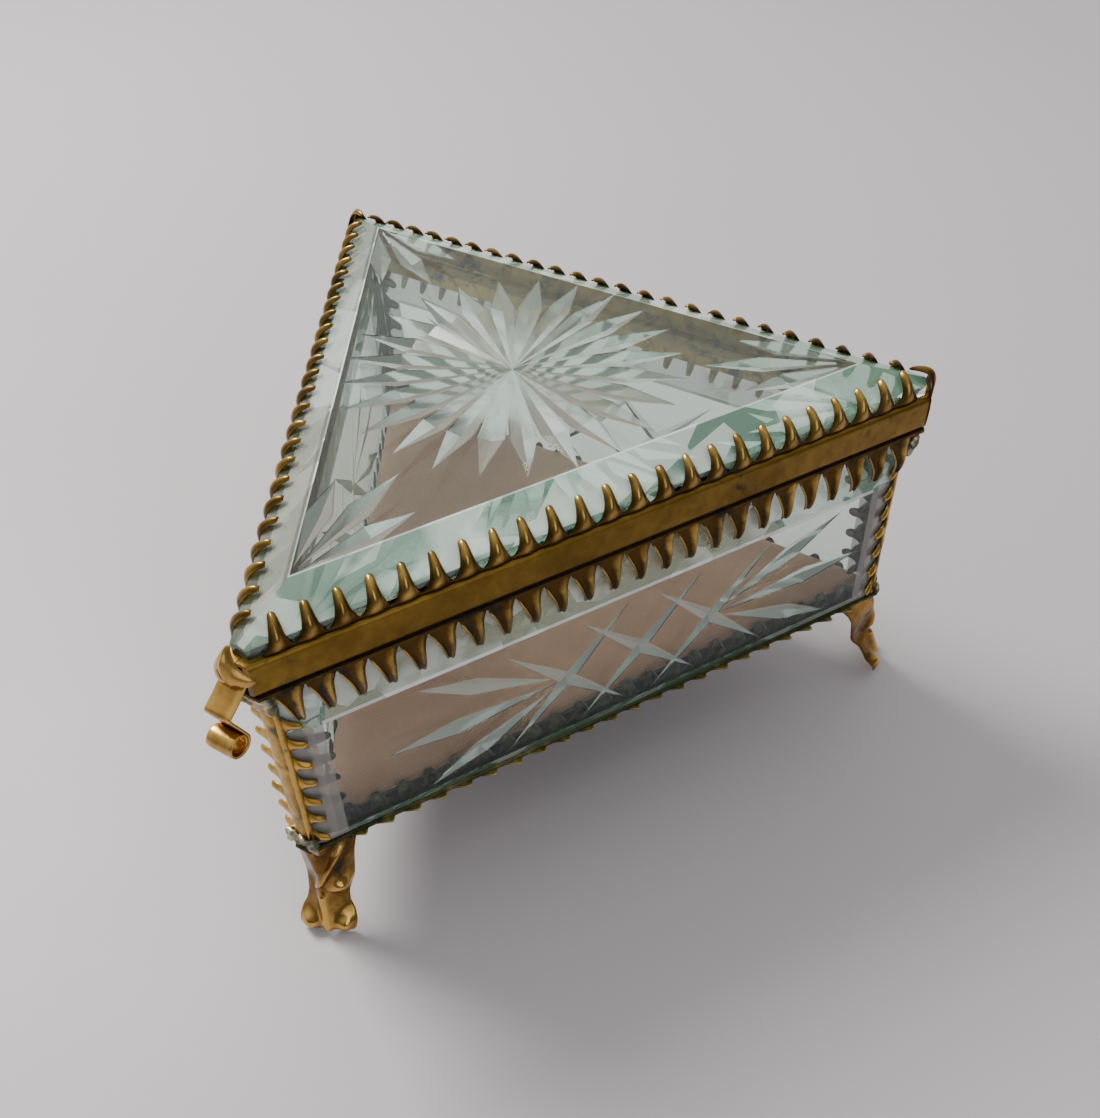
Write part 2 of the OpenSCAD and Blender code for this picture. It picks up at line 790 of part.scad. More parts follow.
// Plate on the band with the knuckles between those of the base
module hinge_lid_leaf() {
    plate_t = 0.6;
    on_side(BACK)
        difference() {
            union() {
                difference() {
                    translate([-knuckle_span / 2, -SKIN - plate_t, lid_z])
                        cube([knuckle_span, plate_t, band_h * 0.7]);
                    for (i = [0:2:knuckle_n - 1]) {
                        knuckle_room(i);
                    }
                }
                for (i = [1:2:knuckle_n - 2]) {
                    knuckle(i);
                }
            }
            pin_bore();
        }
}

module hinge_pin() {
    head = 0.8;
    on_side(BACK)
        translate([0, hinge_y, hinge_z])
            rotate([0, 90, 0]) {
                translate([0, 0, -knuckle_span / 2 - 0.3 - EPS])
                    cylinder(d = pin_d, h = knuckle_span + 0.6 + 2 * EPS);
                for (s = [-1, 1]) {
                    translate([0, 0, s * (knuckle_span / 2 + 0.15 + head / 2) - head / 2])
                        cylinder(d = knuckle_d * 0.8, h = head);
                }
            }
}

// ---- Floor, pad and feet ----

module floor_glass() {
    translate([0, set_y, floor_z])
        linear_extrude(floor_glass_t)
            round_triangle(floor_y, 2);
}

// Points round a triangle with rounded corners
function round_outline(inset, corner) =
    let (r = 2 * (inradius - inset - corner), arc = 6, steps = 8)
    [for (a = [0, 120, 240], k = [0:arc + steps - 1])
        let (
            turn = k <= arc ? a - 60 + 120 * k / arc : a + 60,
            p = [r * sin(a) + corner * sin(turn), -r * cos(a) - corner * cos(turn)],
            q = [r * sin(a + 120) + corner * sin(a + 60), -r * cos(a + 120) - corner * cos(a + 60)],
            f = k <= arc ? 0 : (k - arc) / steps
        )
        p + f * (q - p)
    ];

// Soft pad: rings of one rounded outline, from its turned-in foot to its crown
module lining_pad() {
    outline = round_outline(floor_y + 0.8, 5);
    n = len(outline);
    low = pad_h * 0.5;
    function crown(f) = low + (pad_h - low) * (1 - f * f);
    rings = concat(
        [[0.985, 0], [1, low * 0.25], [1, low * 0.7], [0.985, low * 0.95]],
        [for (f = [0.95, 0.82, 0.64, 0.44, 0.22]) [f, crown(f)]]
    );
    m = len(rings);
    translate([0, set_y, pad_z])
        polyhedron(
            points = concat(
                [for (r = rings, p = outline) [p[0] * r[0], p[1] * r[0], r[1]]],
                [[0, 0, 0], [0, 0, pad_h]]
            ),
            faces = concat(
                [for (j = [0:m - 2], i = [0:n - 1], f = [
                    [j * n + i, (j + 1) * n + i, (j + 1) * n + (i + 1) % n],
                    [j * n + i, (j + 1) * n + (i + 1) % n, j * n + (i + 1) % n]
                ]) f],
                [for (i = [0:n - 1]) [m * n, i, (i + 1) % n]],
                [for (i = [0:n - 1]) [m * n + 1, (m - 1) * n + (i + 1) % n, (m - 1) * n + i]]
            )
        );
}

// Stamped leaf of a foot, by height in a foot of 25: half its width seen from the front,
// the line of its nose and how far its wings sweep back
leaf_width = [
    [0, 4.6], [1.2, 6], [3.2, 6.4], [5.2, 5.8], [7, 4.9], [9, 4.6], [12, 5.3], [15, 5.5],
    [20, 5.9], [25, 7.2]
];
leaf_nose = [[0, 4.5], [2.4, 3.9], [6, 5.3], [11, 6.8], [14.6, 6.5], [21.5, 5.9], [25, 5.9]];
leaf_sweep = [[0, 0.15], [3, 0.35], [6, 0.7], [9, 1.15], [13, 1.5], [25, 1.6]];

// Relief pressed into it: [from, to, width, height] of each ridge, boss or hollow
leaf_relief = [
    [[4.3, 22.8], [-1.2, 13.6], 0.9, 1.2],
    [[3.1, 12.6], [3.1, 12.6], 1.7, 2],
    [[-4, 2.8], [-4, 2.8], 2.1, 1.45],
    [[4, 2.8], [4, 2.8], 2.1, 1.45],
    [[-0.6, 10.5], [0.2, 2], 1.1, 1.1]
];

function hill(p, h) =
    let (d = h[1] - h[0], l = d * d, t = l > 0 ? min(1, max(0, (p - h[0]) * d / l)) : 0)
    h[3] * exp(-pow(norm(p - h[0] - t * d) / h[2], 2));

function relief(p, i = 0) =
    i == len(leaf_relief) ? 0 : hill(p, leaf_relief[i]) + relief(p, i + 1);

module leaf_foot() {
    m = 14;
    heights = [0, 1, 2, 3.2, 4.4, 5.6, 7, 8.6, 10.2, 11.4, 12.6, 13.8, 15, 16.6, 18.4, 20.2, 22, 23.6, 25];
    n = len(heights) - 1;
    k = (foot_h - seat) / 25;
    round_r = 2.4;
    function point(i, j, back) = let (
        z = heights[i],
        x = lookup(z, leaf_width) * (2 * j / m - 1),
        q = norm([x, round_r]),
        s = lookup(z, leaf_sweep),
        out = [s * x / q, -1] / norm([s * x / q, 1]),
        p = [x, lookup(z, leaf_nose) + s * (q - round_r)]
            + out * (back ? -foot_wall : relief([x, z]))
    ) [p[0], p[1], z * k];
    function id(i, j) = i * (m + 1) + j;
    own = (n + 1) * (m + 1);
    function two(a, b, c, d) = [[a, b, c], [a, c, d]];
    polyhedron(
        points = [for (b = [false, true], i = [0:n], j = [0:m]) point(i, j, b)],
        faces = concat(
            [for (i = [0:n - 1], j = [0:m - 1], f = concat(
                two(id(i, j), id(i + 1, j), id(i + 1, j + 1), id(i, j + 1)),
                two(own + id(i, j), own + id(i, j + 1), own + id(i + 1, j + 1), own + id(i + 1, j))
            )) f],
            [for (j = [0:m - 1], f = concat(
                two(id(0, j), id(0, j + 1), own + id(0, j + 1), own + id(0, j)),
                two(id(n, j + 1), id(n, j), own + id(n, j), own + id(n, j + 1))
            )) f],
            [for (i = [0:n - 1], f = concat(
                two(id(i + 1, 0), id(i, 0), own + id(i, 0), own + id(i + 1, 0)),
                two(id(i, m), id(i + 1, m), own + id(i + 1, m), own + id(i, m))
            )) f]
        )
    );
}

module foot(angle, turn = 0) {
    at_corner(angle)
        translate([0, 9, 0])
            rotate([0, 0, turn])
                translate([0, -9, 0])
                    union() {
                        leaf_foot();
                        // Flat of the toes, filled from behind
                        linear_extrude(1.6)
                            hull() {
                                for (s = [-1, 1]) {
                                    translate([s * 2.9, 6.2]) circle(r = 1.5);
                                }
                            }
                    }
}

// ---- Sub-parts ----

BRASS = [0.78, 0.62, 0.34];
GLASS = [0.78, 0.93, 0.88, 0.45];

color(GLASS) lid_plate();  // lid_glass
color(BRASS) lid_band(RIGHT);  // lid_band_right
color(BRASS) lid_band(LEFT);  // lid_band_left
color(BRASS) lid_band(BACK);  // lid_band_back
color(BRASS) lid_gallery(RIGHT);  // lid_gallery_right
color(BRASS) lid_gallery(LEFT);  // lid_gallery_left
color(BRASS) lid_gallery(BACK);  // lid_gallery_back
color(BRASS) lid_corner(RIGHT_CORNER);  // lid_corner_right
color(BRASS) lid_corner(LEFT_CORNER);  // lid_corner_left
color(BRASS) thumb_lift();
color(BRASS) hinge_lid_leaf();
color(GLASS) on_side(RIGHT) pane();  // pane_right
color(GLASS) on_side(LEFT) pane();  // pane_left
color(GLASS) on_side(BACK) pane();  // pane_back
color(BRASS) base_rail(RIGHT);  // base_rail_right
color(BRASS) base_rail(LEFT);  // base_rail_left
color(BRASS) base_rail(BACK, knuckle_span);  // base_rail_back
color(BRASS) base_gallery(RIGHT);  // base_gallery_right
color(BRASS) base_gallery(LEFT);  // base_gallery_left
color(BRASS) base_gallery(BACK);  // base_gallery_back
color(BRASS) corner_post(FRONT_CORNER);  // corner_post_front
color(BRASS) corner_post(RIGHT_CORNER);  // corner_post_right
color(BRASS) corner_post(LEFT_CORNER);  // corner_post_left
color(BRASS) sole_strip(RIGHT);  // sole_strip_right
color(BRASS) sole_strip(LEFT);  // sole_strip_left
color(BRASS) sole_strip(BACK);  // sole_strip_back
color(BRASS) inner_gallery(RIGHT);  // inner_gallery_right
color(BRASS) inner_gallery(LEFT);  // inner_gallery_left
color(BRASS) inner_gallery(BACK);  // inner_gallery_back
color(BRASS) inner_post(FRONT_CORNER);  // inner_post_front
color(BRASS) inner_post(RIGHT_CORNER);  // inner_post_right
color(BRASS) inner_post(LEFT_CORNER);  // inner_post_left
color(GLASS) floor_glass();
color([0.5, 0.3, 0.16]) lining_pad();
color(BRASS) foot(FRONT_CORNER, 18);  // foot_front
color(BRASS) foot(RIGHT_CORNER);  // foot_right
color(BRASS) foot(LEFT_CORNER);  // foot_left
color(BRASS) hinge_base_leaf();
color(BRASS) hinge_pin();
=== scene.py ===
# %% [markdown]
# # A three-sided glass casket
# The real box is plates of bevelled glass held at their edges by stamped brass.
# The glass is cut in the CAD model, so it is kept and only gets a new finish.
# The brass is thin pressed sheet, which is easier to draw as open sheets that are
# given a thickness at the end than as solid blocks.

# %% Load the frame
import math
import random

import bmesh
import bpy
from mathutils import Matrix, Vector, noise


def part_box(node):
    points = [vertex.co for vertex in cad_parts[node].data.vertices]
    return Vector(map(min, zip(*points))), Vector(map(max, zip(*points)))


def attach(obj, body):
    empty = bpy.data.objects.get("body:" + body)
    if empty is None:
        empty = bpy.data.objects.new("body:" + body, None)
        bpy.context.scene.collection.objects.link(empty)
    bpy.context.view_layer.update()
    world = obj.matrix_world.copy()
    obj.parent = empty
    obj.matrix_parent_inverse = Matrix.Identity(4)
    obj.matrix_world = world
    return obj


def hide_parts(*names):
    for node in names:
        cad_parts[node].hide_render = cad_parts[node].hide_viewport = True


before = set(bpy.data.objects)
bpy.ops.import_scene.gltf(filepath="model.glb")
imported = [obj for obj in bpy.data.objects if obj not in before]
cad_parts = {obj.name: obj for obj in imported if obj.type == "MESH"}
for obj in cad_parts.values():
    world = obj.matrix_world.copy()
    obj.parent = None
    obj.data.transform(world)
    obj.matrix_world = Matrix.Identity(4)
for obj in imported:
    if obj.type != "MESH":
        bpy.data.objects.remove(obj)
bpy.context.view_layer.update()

MM = 0.001

# %% [markdown]
# ## Sizes
# Every piece sits on the CAD solids, so its place is read from their boxes and isn't
# typed in twice. All drawing is in millimetres in two local frames, as in a workshop:
# one per side (X along the side, Y into the box) and one per corner (Y along the
# bisector). A matrix takes a finished mesh to metres and to its place.

# %% Sizes read from the CAD solids


def low(node):
    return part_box(node)[0] * 1000


def high(node):
    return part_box(node)[1] * 1000


T30, C30 = math.tan(math.radians(30)), math.cos(math.radians(30))
CORNER_CUT = 5.0
FOOT_TOP = high("foot_left").z
LID_INSET, LID_BEVEL, LID_BEVEL_DROP = 1.6, 9.0, 4.6
HALF_SIDE = high("lid_band_back").x + CORNER_CUT * C30
INRADIUS = HALF_SIDE * T30
CIRCUMRADIUS = 2 * INRADIUS
SET_Y = high("lid_band_back").y - INRADIUS
SOLE_Z = FOOT_TOP + 0.12
BASE_Z = low("pane_back").z
PANE_TOP = high("pane_back").z
RAIL_Z = high("base_rail_back").z - 0.8
BAND_TOP = high("lid_band_back").z
LID_TOP = high("lid_glass").z
RIM_Z = LID_TOP - LID_BEVEL_DROP
PAD_Z = low("lining_pad").z
print("side", round(2 * HALF_SIDE, 2), "centre line", round(SET_Y, 2), "heights",
      [round(z, 2) for z in (SOLE_Z, BASE_Z, PANE_TOP, RAIL_Z, BAND_TOP, LID_TOP)])

# %% Moves, new objects and plain meshes


def shift(x=0.0, y=0.0, z=0.0):
    return Matrix.Translation((x, y, z))


def turn_about(axis, degrees):
    return Matrix.Rotation(math.radians(degrees), 4, axis)


def add(name, data):
    """A new object in the scene."""
    thing = bpy.data.objects.new(name, data)
    bpy.context.collection.objects.link(thing)
    return thing


def evaluated(thing):
    """A plain mesh of an object as its modifiers leave it."""
    graph = bpy.context.evaluated_depsgraph_get()
    return bpy.data.meshes.new_from_object(thing.evaluated_get(graph))


# %% The frames of the sides and the corners
SIDES = {"right": 60, "back": 180, "left": 300}
CORNERS = {"front": 0, "right": 120, "left": 240}


def turned(angle, out):
    """Matrix from millimetres in a frame that lies `out` from the centre to metres."""
    return (shift(y=SET_Y * MM) @ turn_about("Z", angle)
            @ shift(y=-out * MM) @ Matrix.Scale(MM, 4))


def on_side(name):
    return turned(SIDES[name], INRADIUS)


def at_corner(name):
    return turned(CORNERS[name], CIRCUMRADIUS)


# %% [markdown]
# ## Camera
# The view is the photograph's: from the front right, looking down at about 43 degrees.
# The camera is built from its back vector, then rolled a little about its own axis.

# %% The camera
SENSOR, PICTURE_HEIGHT = 36, 1118


def look_from(place, azimuth, elevation, roll, focal):
    """A camera at a place in millimetres; angles in degrees, focal length in pixels."""
    a, e = math.radians(azimuth), math.radians(elevation)
    back = Vector((math.sin(a) * math.cos(e), -math.cos(a) * math.cos(e), math.sin(e)))
    camera = add("camera", bpy.data.cameras.new("camera"))
    camera.data.sensor_width = SENSOR
    camera.data.lens = focal * SENSOR / PICTURE_HEIGHT
    aim = back.to_track_quat("Z", "Y").to_matrix().to_4x4()
    camera.matrix_world = shift(*(Vector(place) * MM)) @ aim @ turn_about("Z", roll)
    bpy.context.scene.camera = camera
    return camera


camera = look_from((122.96, SET_Y - 179.17, 239.5), azimuth=32.76, elevation=43.1, roll=-2.37,
                   focal=1199)
print("lens", round(camera.data.lens, 2))

# %% [markdown]
# ## A small language for nodes
# Both shaders and Geometry Nodes are sums of sockets. Writing them as Python sums is
# shorter than placing Math nodes by hand: a Wire is an output socket that knows how to
# add its own Math nodes, and a Sketch makes every other node.

# %% Wires and sketches
NOISE_SCALE = 600  # makes blotches of about 1 mm in coordinates that are in metres


class Wire:
    """An output socket that can be used in sums."""

    def __init__(self, sketch, socket):
        self.sketch, self.socket = sketch, socket

    def sum(self, operation, *others):
        return self.sketch.math(operation, self, *others)

    def __add__(self, other):
        return self.sum("ADD", other)

    def __sub__(self, other):
        return self.sum("SUBTRACT", other)

    def __mul__(self, other):
        return self.sum("MULTIPLY", other)

    def __rsub__(self, other):
        return self.sketch.math("SUBTRACT", other, self)

    __radd__ = __add__
    __rmul__ = __mul__

    def ramp(self, start, end, low=0.0, high=1.0):
        """Goes from low to high while the wire goes from start to end."""
        return self.sketch.node(
            "ShaderNodeMapRange", {"interpolation_type": "SMOOTHSTEP"},
            {"Value": self, "From Min": start, "From Max": end, "To Min": low, "To Max": high})

    def above(self, edge, soft=0.1):
        """1 above an edge and 0 below it, with a soft step between."""
        return self.ramp(edge - soft, edge + soft)


class Sketch:
    """Makes nodes in one tree."""

    def __init__(self, tree):
        self.tree = tree

    def node(self, kind, settings=(), sockets=(), out=0):
        made = self.tree.nodes.new(kind)
        for key, value in dict(settings).items():
            setattr(made, key, value)
        for key, value in dict(sockets).items():
            if isinstance(value, Wire):
                self.tree.links.new(value.socket, made.inputs[key])
            else:
                made.inputs[key].default_value = value
        return Wire(self, made.outputs[out]) if len(made.outputs) else made

    def math(self, operation, *values):
        return self.node("ShaderNodeMath", {"operation": operation}, enumerate(values))

    def vector(self, operation, *values):
        return self.node("ShaderNodeVectorMath", {"operation": operation}, enumerate(values))

    def mix(self, mask, first, second):
        """A colour between two colours."""
        return self.node("ShaderNodeMix", {"data_type": "RGBA"},
                         {0: mask, 6: first, 7: second}, 2)

    def place(self, scale=(1, 1, 1), angle=0.0):
        """Object coordinates, turned about Z and stretched."""
        return self.node("ShaderNodeMapping", (), {
            "Vector": self.node("ShaderNodeTexCoord", out="Object"),
            "Rotation": (0, 0, math.radians(angle)), "Scale": scale})

    def cloud(self, size, detail, where=None):
        """Noise whose blotches are about `size` millimetres across."""
        return self.node("ShaderNodeTexNoise", (), {
            "Vector": where or self.place(), "Scale": NOISE_SCALE / size, "Detail": detail,
            "Roughness": 0.55})

    def bump(self, height, depth, strength=1.0):
        """Relief of `depth` millimetres."""
        return self.node("ShaderNodeBump", (), {
            "Height": height, "Distance": depth * MM, "Strength": strength})


def finish(name, **fixed):
    """A material with one Principled shader; returns it with its sketch and shader node."""
    material = bpy.data.materials.new(name)
    material.use_nodes = True
    sketch = Sketch(material.node_tree)
    shader = material.node_tree.nodes["Principled BSDF"]
    for key, value in fixed.items():
        shader.inputs[key.replace("_", " ")].default_value = value
    return material, sketch, shader


def feed(shader, **wires):
    for key, wire in wires.items():
        wire.sketch.tree.links.new(wire.socket, shader.inputs[key.replace("_", " ")])


# %% [markdown]
# ## Brass
# Old gilt brass isn't one colour. The raised parts that hands touch stay bright, the
# hollows go brown, and the solder leaves grey-green spots. Each sheet carries an attribute
# of wear and painted light, painted when it is drawn: 1 on ridges and edges, 0 at the
# bottom of a hollow. Besides real wear and brown patina it holds painted light: bright
# ridges, tips and edges stand in for highlights, and dark hollows and roots for shade.
# The material mixes its colours by it, with noise to break it up.

# %% The brass finishes


def brass(name, bright, brown, dark, gloss, matt, lift=0.0, grime=0.35, metal=1.0):
    """gloss and matt are the roughness of worn and dull brass; lift widens the worn and
    painted-lit part.
    """
    material, s, shader = finish(name, IOR=1.5)
    wear = s.node("ShaderNodeAttribute", {"attribute_name": "wear"}, out="Fac")
    patches, streaks = s.cloud(9, 4), s.cloud(1.6, 4)
    # The worn part follows the attribute, so besides real wear it is painted light: ridges bright
    # as highlights, hollows and roots dark as shade.
    worn_and_lit = (wear + lift + (patches - 0.5) * 1.1 + (streaks - 0.5) * 0.7).ramp(0.1, 0.95)
    first_spot = 0.78 - grime * 0.3
    spots = (s.cloud(2.2, 5) + s.cloud(14, 2) * 0.6 - wear * 0.22).ramp(first_spot,
                                                                        first_spot + 0.24)
    feed(shader, Base_Color=s.mix(spots, s.mix(worn_and_lit, brown, bright), dark),
         Roughness=gloss + (matt - gloss) * (1 - worn_and_lit) + spots * 0.22,
         Metallic=metal - spots * 0.45,
         Normal=s.bump(streaks * 0.6 + s.cloud(0.7, 3) * 0.5 + s.cloud(4, 2) * 1.2, 0.09, 0.7))
    return material


UMBER = (0.022, 0.016, 0.009, 1)
claw_brass = brass("claw brass", (0.52, 0.335, 0.085, 1), (0.085, 0.046, 0.011, 1), UMBER,
                   gloss=0.17, matt=0.36, lift=-0.16, grime=0.1)
band_brass = brass("band brass", (0.30, 0.185, 0.036, 1), (0.15, 0.085, 0.015, 1), UMBER,
                   gloss=0.30, matt=0.44, lift=0.45, grime=-0.45)
lift_brass = brass("lift brass", (0.60, 0.36, 0.10, 1), (0.24, 0.135, 0.03, 1), UMBER,
                   gloss=0.26, matt=0.42, lift=0.1, grime=-0.35)
foot_brass = brass("foot brass", (0.70, 0.42, 0.11, 1), (0.17, 0.085, 0.02, 1), UMBER,
                   gloss=0.14, matt=0.27, grime=-0.05)
post_brass = brass("post brass", (0.62, 0.385, 0.085, 1), (0.30, 0.165, 0.03, 1),
                   (0.10, 0.10, 0.055, 1), gloss=0.2, matt=0.4, lift=0.05, grime=0.25)
sole_brass = brass("sole brass", (0.66, 0.48, 0.15, 1), (0.075, 0.08, 0.04, 1), UMBER,
                   gloss=0.25, matt=0.6, lift=0.15, grime=-0.3)
rail_brass = brass("rail brass", (0.30, 0.18, 0.05, 1), (0.12, 0.07, 0.02, 1), UMBER,
                   gloss=0.4, matt=0.6, lift=0.1, grime=0.1)
back_brass = brass("back brass", (0.80, 0.58, 0.20, 1), (0.50, 0.34, 0.10, 1), UMBER,
                   gloss=0.3, matt=0.5, lift=0.3, grime=-0.1, metal=0.5)
# Painted shade: the claws and uprights behind the panes are coloured dark grey-green, as they
# look in shadow behind the green glass.
shaded_inner_brass = brass("inner brass", (0.20, 0.20, 0.14, 1), (0.07, 0.08, 0.055, 1),
                    (0.02, 0.03, 0.022, 1), gloss=0.4, matt=0.6, grime=0.6)
solder = brass("old solder", (0.66, 0.60, 0.43, 1), (0.26, 0.22, 0.13, 1),
               (0.09, 0.12, 0.085, 1), gloss=0.32, matt=0.6, grime=0.45)
print("brass finishes:", [m.name for m in (claw_brass, band_brass, foot_brass, solder)])

# %% [markdown]
# ## Sheets
# A stamped claw is a flat strip whose upper edge is cut into points, with a ridge pressed
# up the middle of each. Drawn as rows from root to tip, each row needs its depth, its
# height, where its left and right edges are and how far its ridge stands out. The rows
# that make one period are drawn once; the strip along a side is many copies of them.

# %% Draw one stamped claw
ACROSS = ((-1, 0.0), (-0.62, 0.45), (-0.28, 0.9), (0.0, 1.0), (0.28, 0.85), (0.62, 0.4),
          (1, 0.0))


def paint(mesh, name, values):
    """Stores one number for each point of a mesh."""
    layer = mesh.attributes.get(name) or mesh.attributes.new(name, "FLOAT", "POINT")
    layer.data.foreach_set("value", values)


def sheet(name, points, wide, wear, holes=(), faces_up=True):
    """An open mesh from rows of `wide` points; holes are (row, column) left out."""
    faces = []
    for i in range(len(points) // wide - 1):
        for j in range(wide - 1):
            a, d = i * wide + j, (i + 1) * wide + j
            if (i, j) not in holes:
                faces.append((a, a + 1, d + 1, d) if faces_up else (a, d, d + 1, a + 1))
    mesh = bpy.data.meshes.new(name)
    mesh.from_pydata(points, [], faces)
    paint(mesh, "wear", wear)
    return mesh


def claw_mesh(name, rows, relief, across=ACROSS, holes=()):
    """Open sheet facing -Y. A row is (depth, height, left, right, ridge).

    across gives places from the left edge (-1) to the right (1) with their share of the
    ridge. The attribute of wear and painted light is for the finish: ridges, tips and the
    right edge are painted bright as highlights and the roots dark as shade under the band;
    "rise" grows to the tip and lets it sway.
    """
    points, wear, rise = [], [], []
    last = len(rows) - 1
    for i, (y, z, left, right, ridge) in enumerate(rows):
        before, after = rows[max(i - 1, 0)], rows[min(i + 1, last)]
        dy, dz = after[0] - before[0], after[1] - before[1]
        length = math.hypot(dy, dz)
        for place, share in across:
            push = relief * ridge * share / length
            points.append((left + (right - left) * (place + 1) / 2, y - dz * push, z + dy * push))
            # Painted light as well as wear: the right edge is painted bright as a highlight, the
            # left one a little, and the share that grows to the tip leaves the roots dark as
            # painted shade.
            edge = (0.6 if place == 1 else 0.15) if abs(place) == 1 and i > 2 else 0.0
            wear.append(min(1.0, 0.75 * ridge * share + 0.25 * i / last + edge))
            rise.append((i / last) ** 1.5)
    mesh = sheet(name, points, len(across), wear, holes)
    paint(mesh, "rise", rise)
    return mesh


def put(mesh, place, material, body, nodes=(), thick=0.0, smooth=1):
    """Makes a mesh in local millimetres a piece: in place, in metres, riding on its body."""
    mesh.transform(place)
    mesh.materials.clear()
    mesh.materials.append(material)
    mesh.shade_smooth()
    piece = add(mesh.name, mesh)
    if thick:
        wall = piece.modifiers.new("sheet", "SOLIDIFY")
        wall.thickness, wall.offset, wall.use_even_offset = thick * MM, -1.0, True
    if smooth:
        round_off = piece.modifiers.new("round", "SUBSURF")
        round_off.levels = round_off.render_levels = smooth
    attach(piece, body)
    if nodes:
        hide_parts(*nodes)
    return piece


# %% [markdown]
# ## A row of claws
# The strips are hundreds of equal claws, pressed a few at a time and then bent by hand,
# so no two lean alike. Geometry Nodes repeat the claw along a line, join the copies and
# push the tips about with seeded noise. The tree has named sizes, so the same tree makes
# the galleries, the fingers of the posts and the scallops under the panes.

# %% The tree that repeats a claw


def row_tree():
    tree = bpy.data.node_groups.new("row of claws", "GeometryNodeTree")
    for label, kind in (("Geometry", "Geometry"), ("Claw", "Object"), ("Count", "Int"),
                        ("Pitch", "Float"), ("Wobble", "Float"), ("Seed", "Float"),
                        ("Metal", "Material")):
        tree.interface.new_socket(label, in_out="INPUT", socket_type="NodeSocket" + kind)
    tree.interface.new_socket("Geometry", in_out="OUTPUT", socket_type="NodeSocketGeometry")
    s = Sketch(tree)
    start = tree.nodes.new("NodeGroupInput")
    given = {o.name: Wire(s, o) for o in start.outputs if o.name}
    first = (given["Count"] - 1) * given["Pitch"] * -0.5
    line = s.node("GeometryNodeMeshLine", (), {
        "Count": given["Count"],
        "Start Location": s.node("ShaderNodeCombineXYZ", (), {"X": first}),
        "Offset": s.node("ShaderNodeCombineXYZ", (), {"X": given["Pitch"]})})
    claw = s.node("GeometryNodeObjectInfo", (), {"Object": given["Claw"]}, "Geometry")
    copies = s.node("GeometryNodeInstanceOnPoints", (), {"Points": line, "Instance": claw})
    joined = s.node("GeometryNodeMergeByDistance", (), {
        "Geometry": s.node("GeometryNodeRealizeInstances", (), {"Geometry": copies}),
        "Distance": 0.03})
    sway = s.node("ShaderNodeTexNoise", {"noise_dimensions": "4D"}, {
        "Vector": s.node("GeometryNodeInputPosition"), "W": given["Seed"], "Scale": 0.19,
        "Detail": 1.0}, "Color")
    rise = s.node("GeometryNodeInputNamedAttribute", {"data_type": "FLOAT"}, {"Name": "rise"},
                  "Attribute")
    push = s.node("ShaderNodeVectorMath", {"operation": "SCALE"}, {
        0: s.vector("SUBTRACT", sway, (0.5, 0.5, 0.5)), "Scale": given["Wobble"] * rise * 2})
    bent = s.node("GeometryNodeSetPosition", (), {"Geometry": joined, "Offset": push})
    done = s.node("GeometryNodeSetMaterial", (), {"Geometry": bent, "Material": given["Metal"]})
    s.node("NodeGroupOutput", (), {"Geometry": done})
    return tree


ROW = row_tree()


def claw_row(name, claw, count, pitch, wobble, seed, metal):
    """Evaluates the tree once and returns the strip as a plain mesh."""
    one = add("one claw", claw)
    holder = add("holder", bpy.data.meshes.new("holder"))
    nodes = holder.modifiers.new("row", "NODES")
    nodes.node_group = ROW
    values = {"Claw": one, "Count": count, "Pitch": pitch, "Wobble": wobble,
              "Seed": float(seed), "Metal": metal}
    for item in ROW.interface.items_tree:
        if item.in_out == "INPUT" and item.name in values:
            nodes[item.identifier] = values[item.name]
    mesh = evaluated(holder)
    mesh.name = name
    for item in (one, holder):
        bpy.data.objects.remove(item)
    return mesh


def joined(name, parts):
    """One mesh from several, with their attributes."""
    things = [add("part", mesh) for mesh in parts]
    bpy.ops.object.select_all(action="DESELECT")
    for thing in things:
        thing.select_set(True)
    bpy.context.view_layer.objects.active = things[0]
    bpy.ops.object.join()
    mesh = things[0].data.copy()
    mesh.name = name
    bpy.data.objects.remove(things[0])
    return mesh


# %% The sizes of the strips
CLAW_PITCH = 6.15
OUTER_ENDS, INNER_ENDS = 16, 28  # plain length of a side, both ends together
CLAW_COUNT = int((2 * HALF_SIDE - OUTER_ENDS) / CLAW_PITCH)
INNER_COUNT = int((2 * HALF_SIDE - INNER_ENDS) / CLAW_PITCH)
P = CLAW_PITCH / 2
TIP_OVER = turn_about("Y", 180)
print(CLAW_COUNT, "claws along a side,", INNER_COUNT, "inside")

# %% [markdown]
# ## The gallery of the lid
# These claws rise from the top of the band and fold over the bevel of the lid glass.
# Each is a lopsided thorn: steep on its left, and a long hollow curve on its right that
# runs into the root of the next one.

# %% Claws over the lid glass
lid_claw = [
    (1.0, 0.05, -P, P, 0.1), (1.0, 0.5, -P, P, 0.5), (1.0, 1.0, -2.7, 2.9, 0.8),
    (1.1, 1.7, -2.0, 2.5, 0.95), (1.35, 2.6, -1.5, 2.15, 1.0), (1.85, 3.5, -1.15, 1.95, 1.0),
    (2.6, 4.35, -0.8, 1.85, 0.95), (3.5, 5.0, -0.5, 1.8, 0.85), (4.3, 5.4, -0.25, 1.8, 0.75),
    (5.0, 5.6, 0.0, 1.75, 0.6), (5.3, 5.6, 0.2, 1.5, 0.35)]
for number, side in enumerate(SIDES):
    strip = claw_row("lid_claws_" + side, claw_mesh("lid claw", lid_claw, 1.0), CLAW_COUNT,
                     CLAW_PITCH, wobble=0.55, seed=number + 1, metal=claw_brass)
    put(strip, on_side(side) @ shift(z=BAND_TOP), claw_brass, "lid",
        ["lid_gallery_" + side], thick=0.45)
    print(strip.name, len(strip.polygons), "faces")
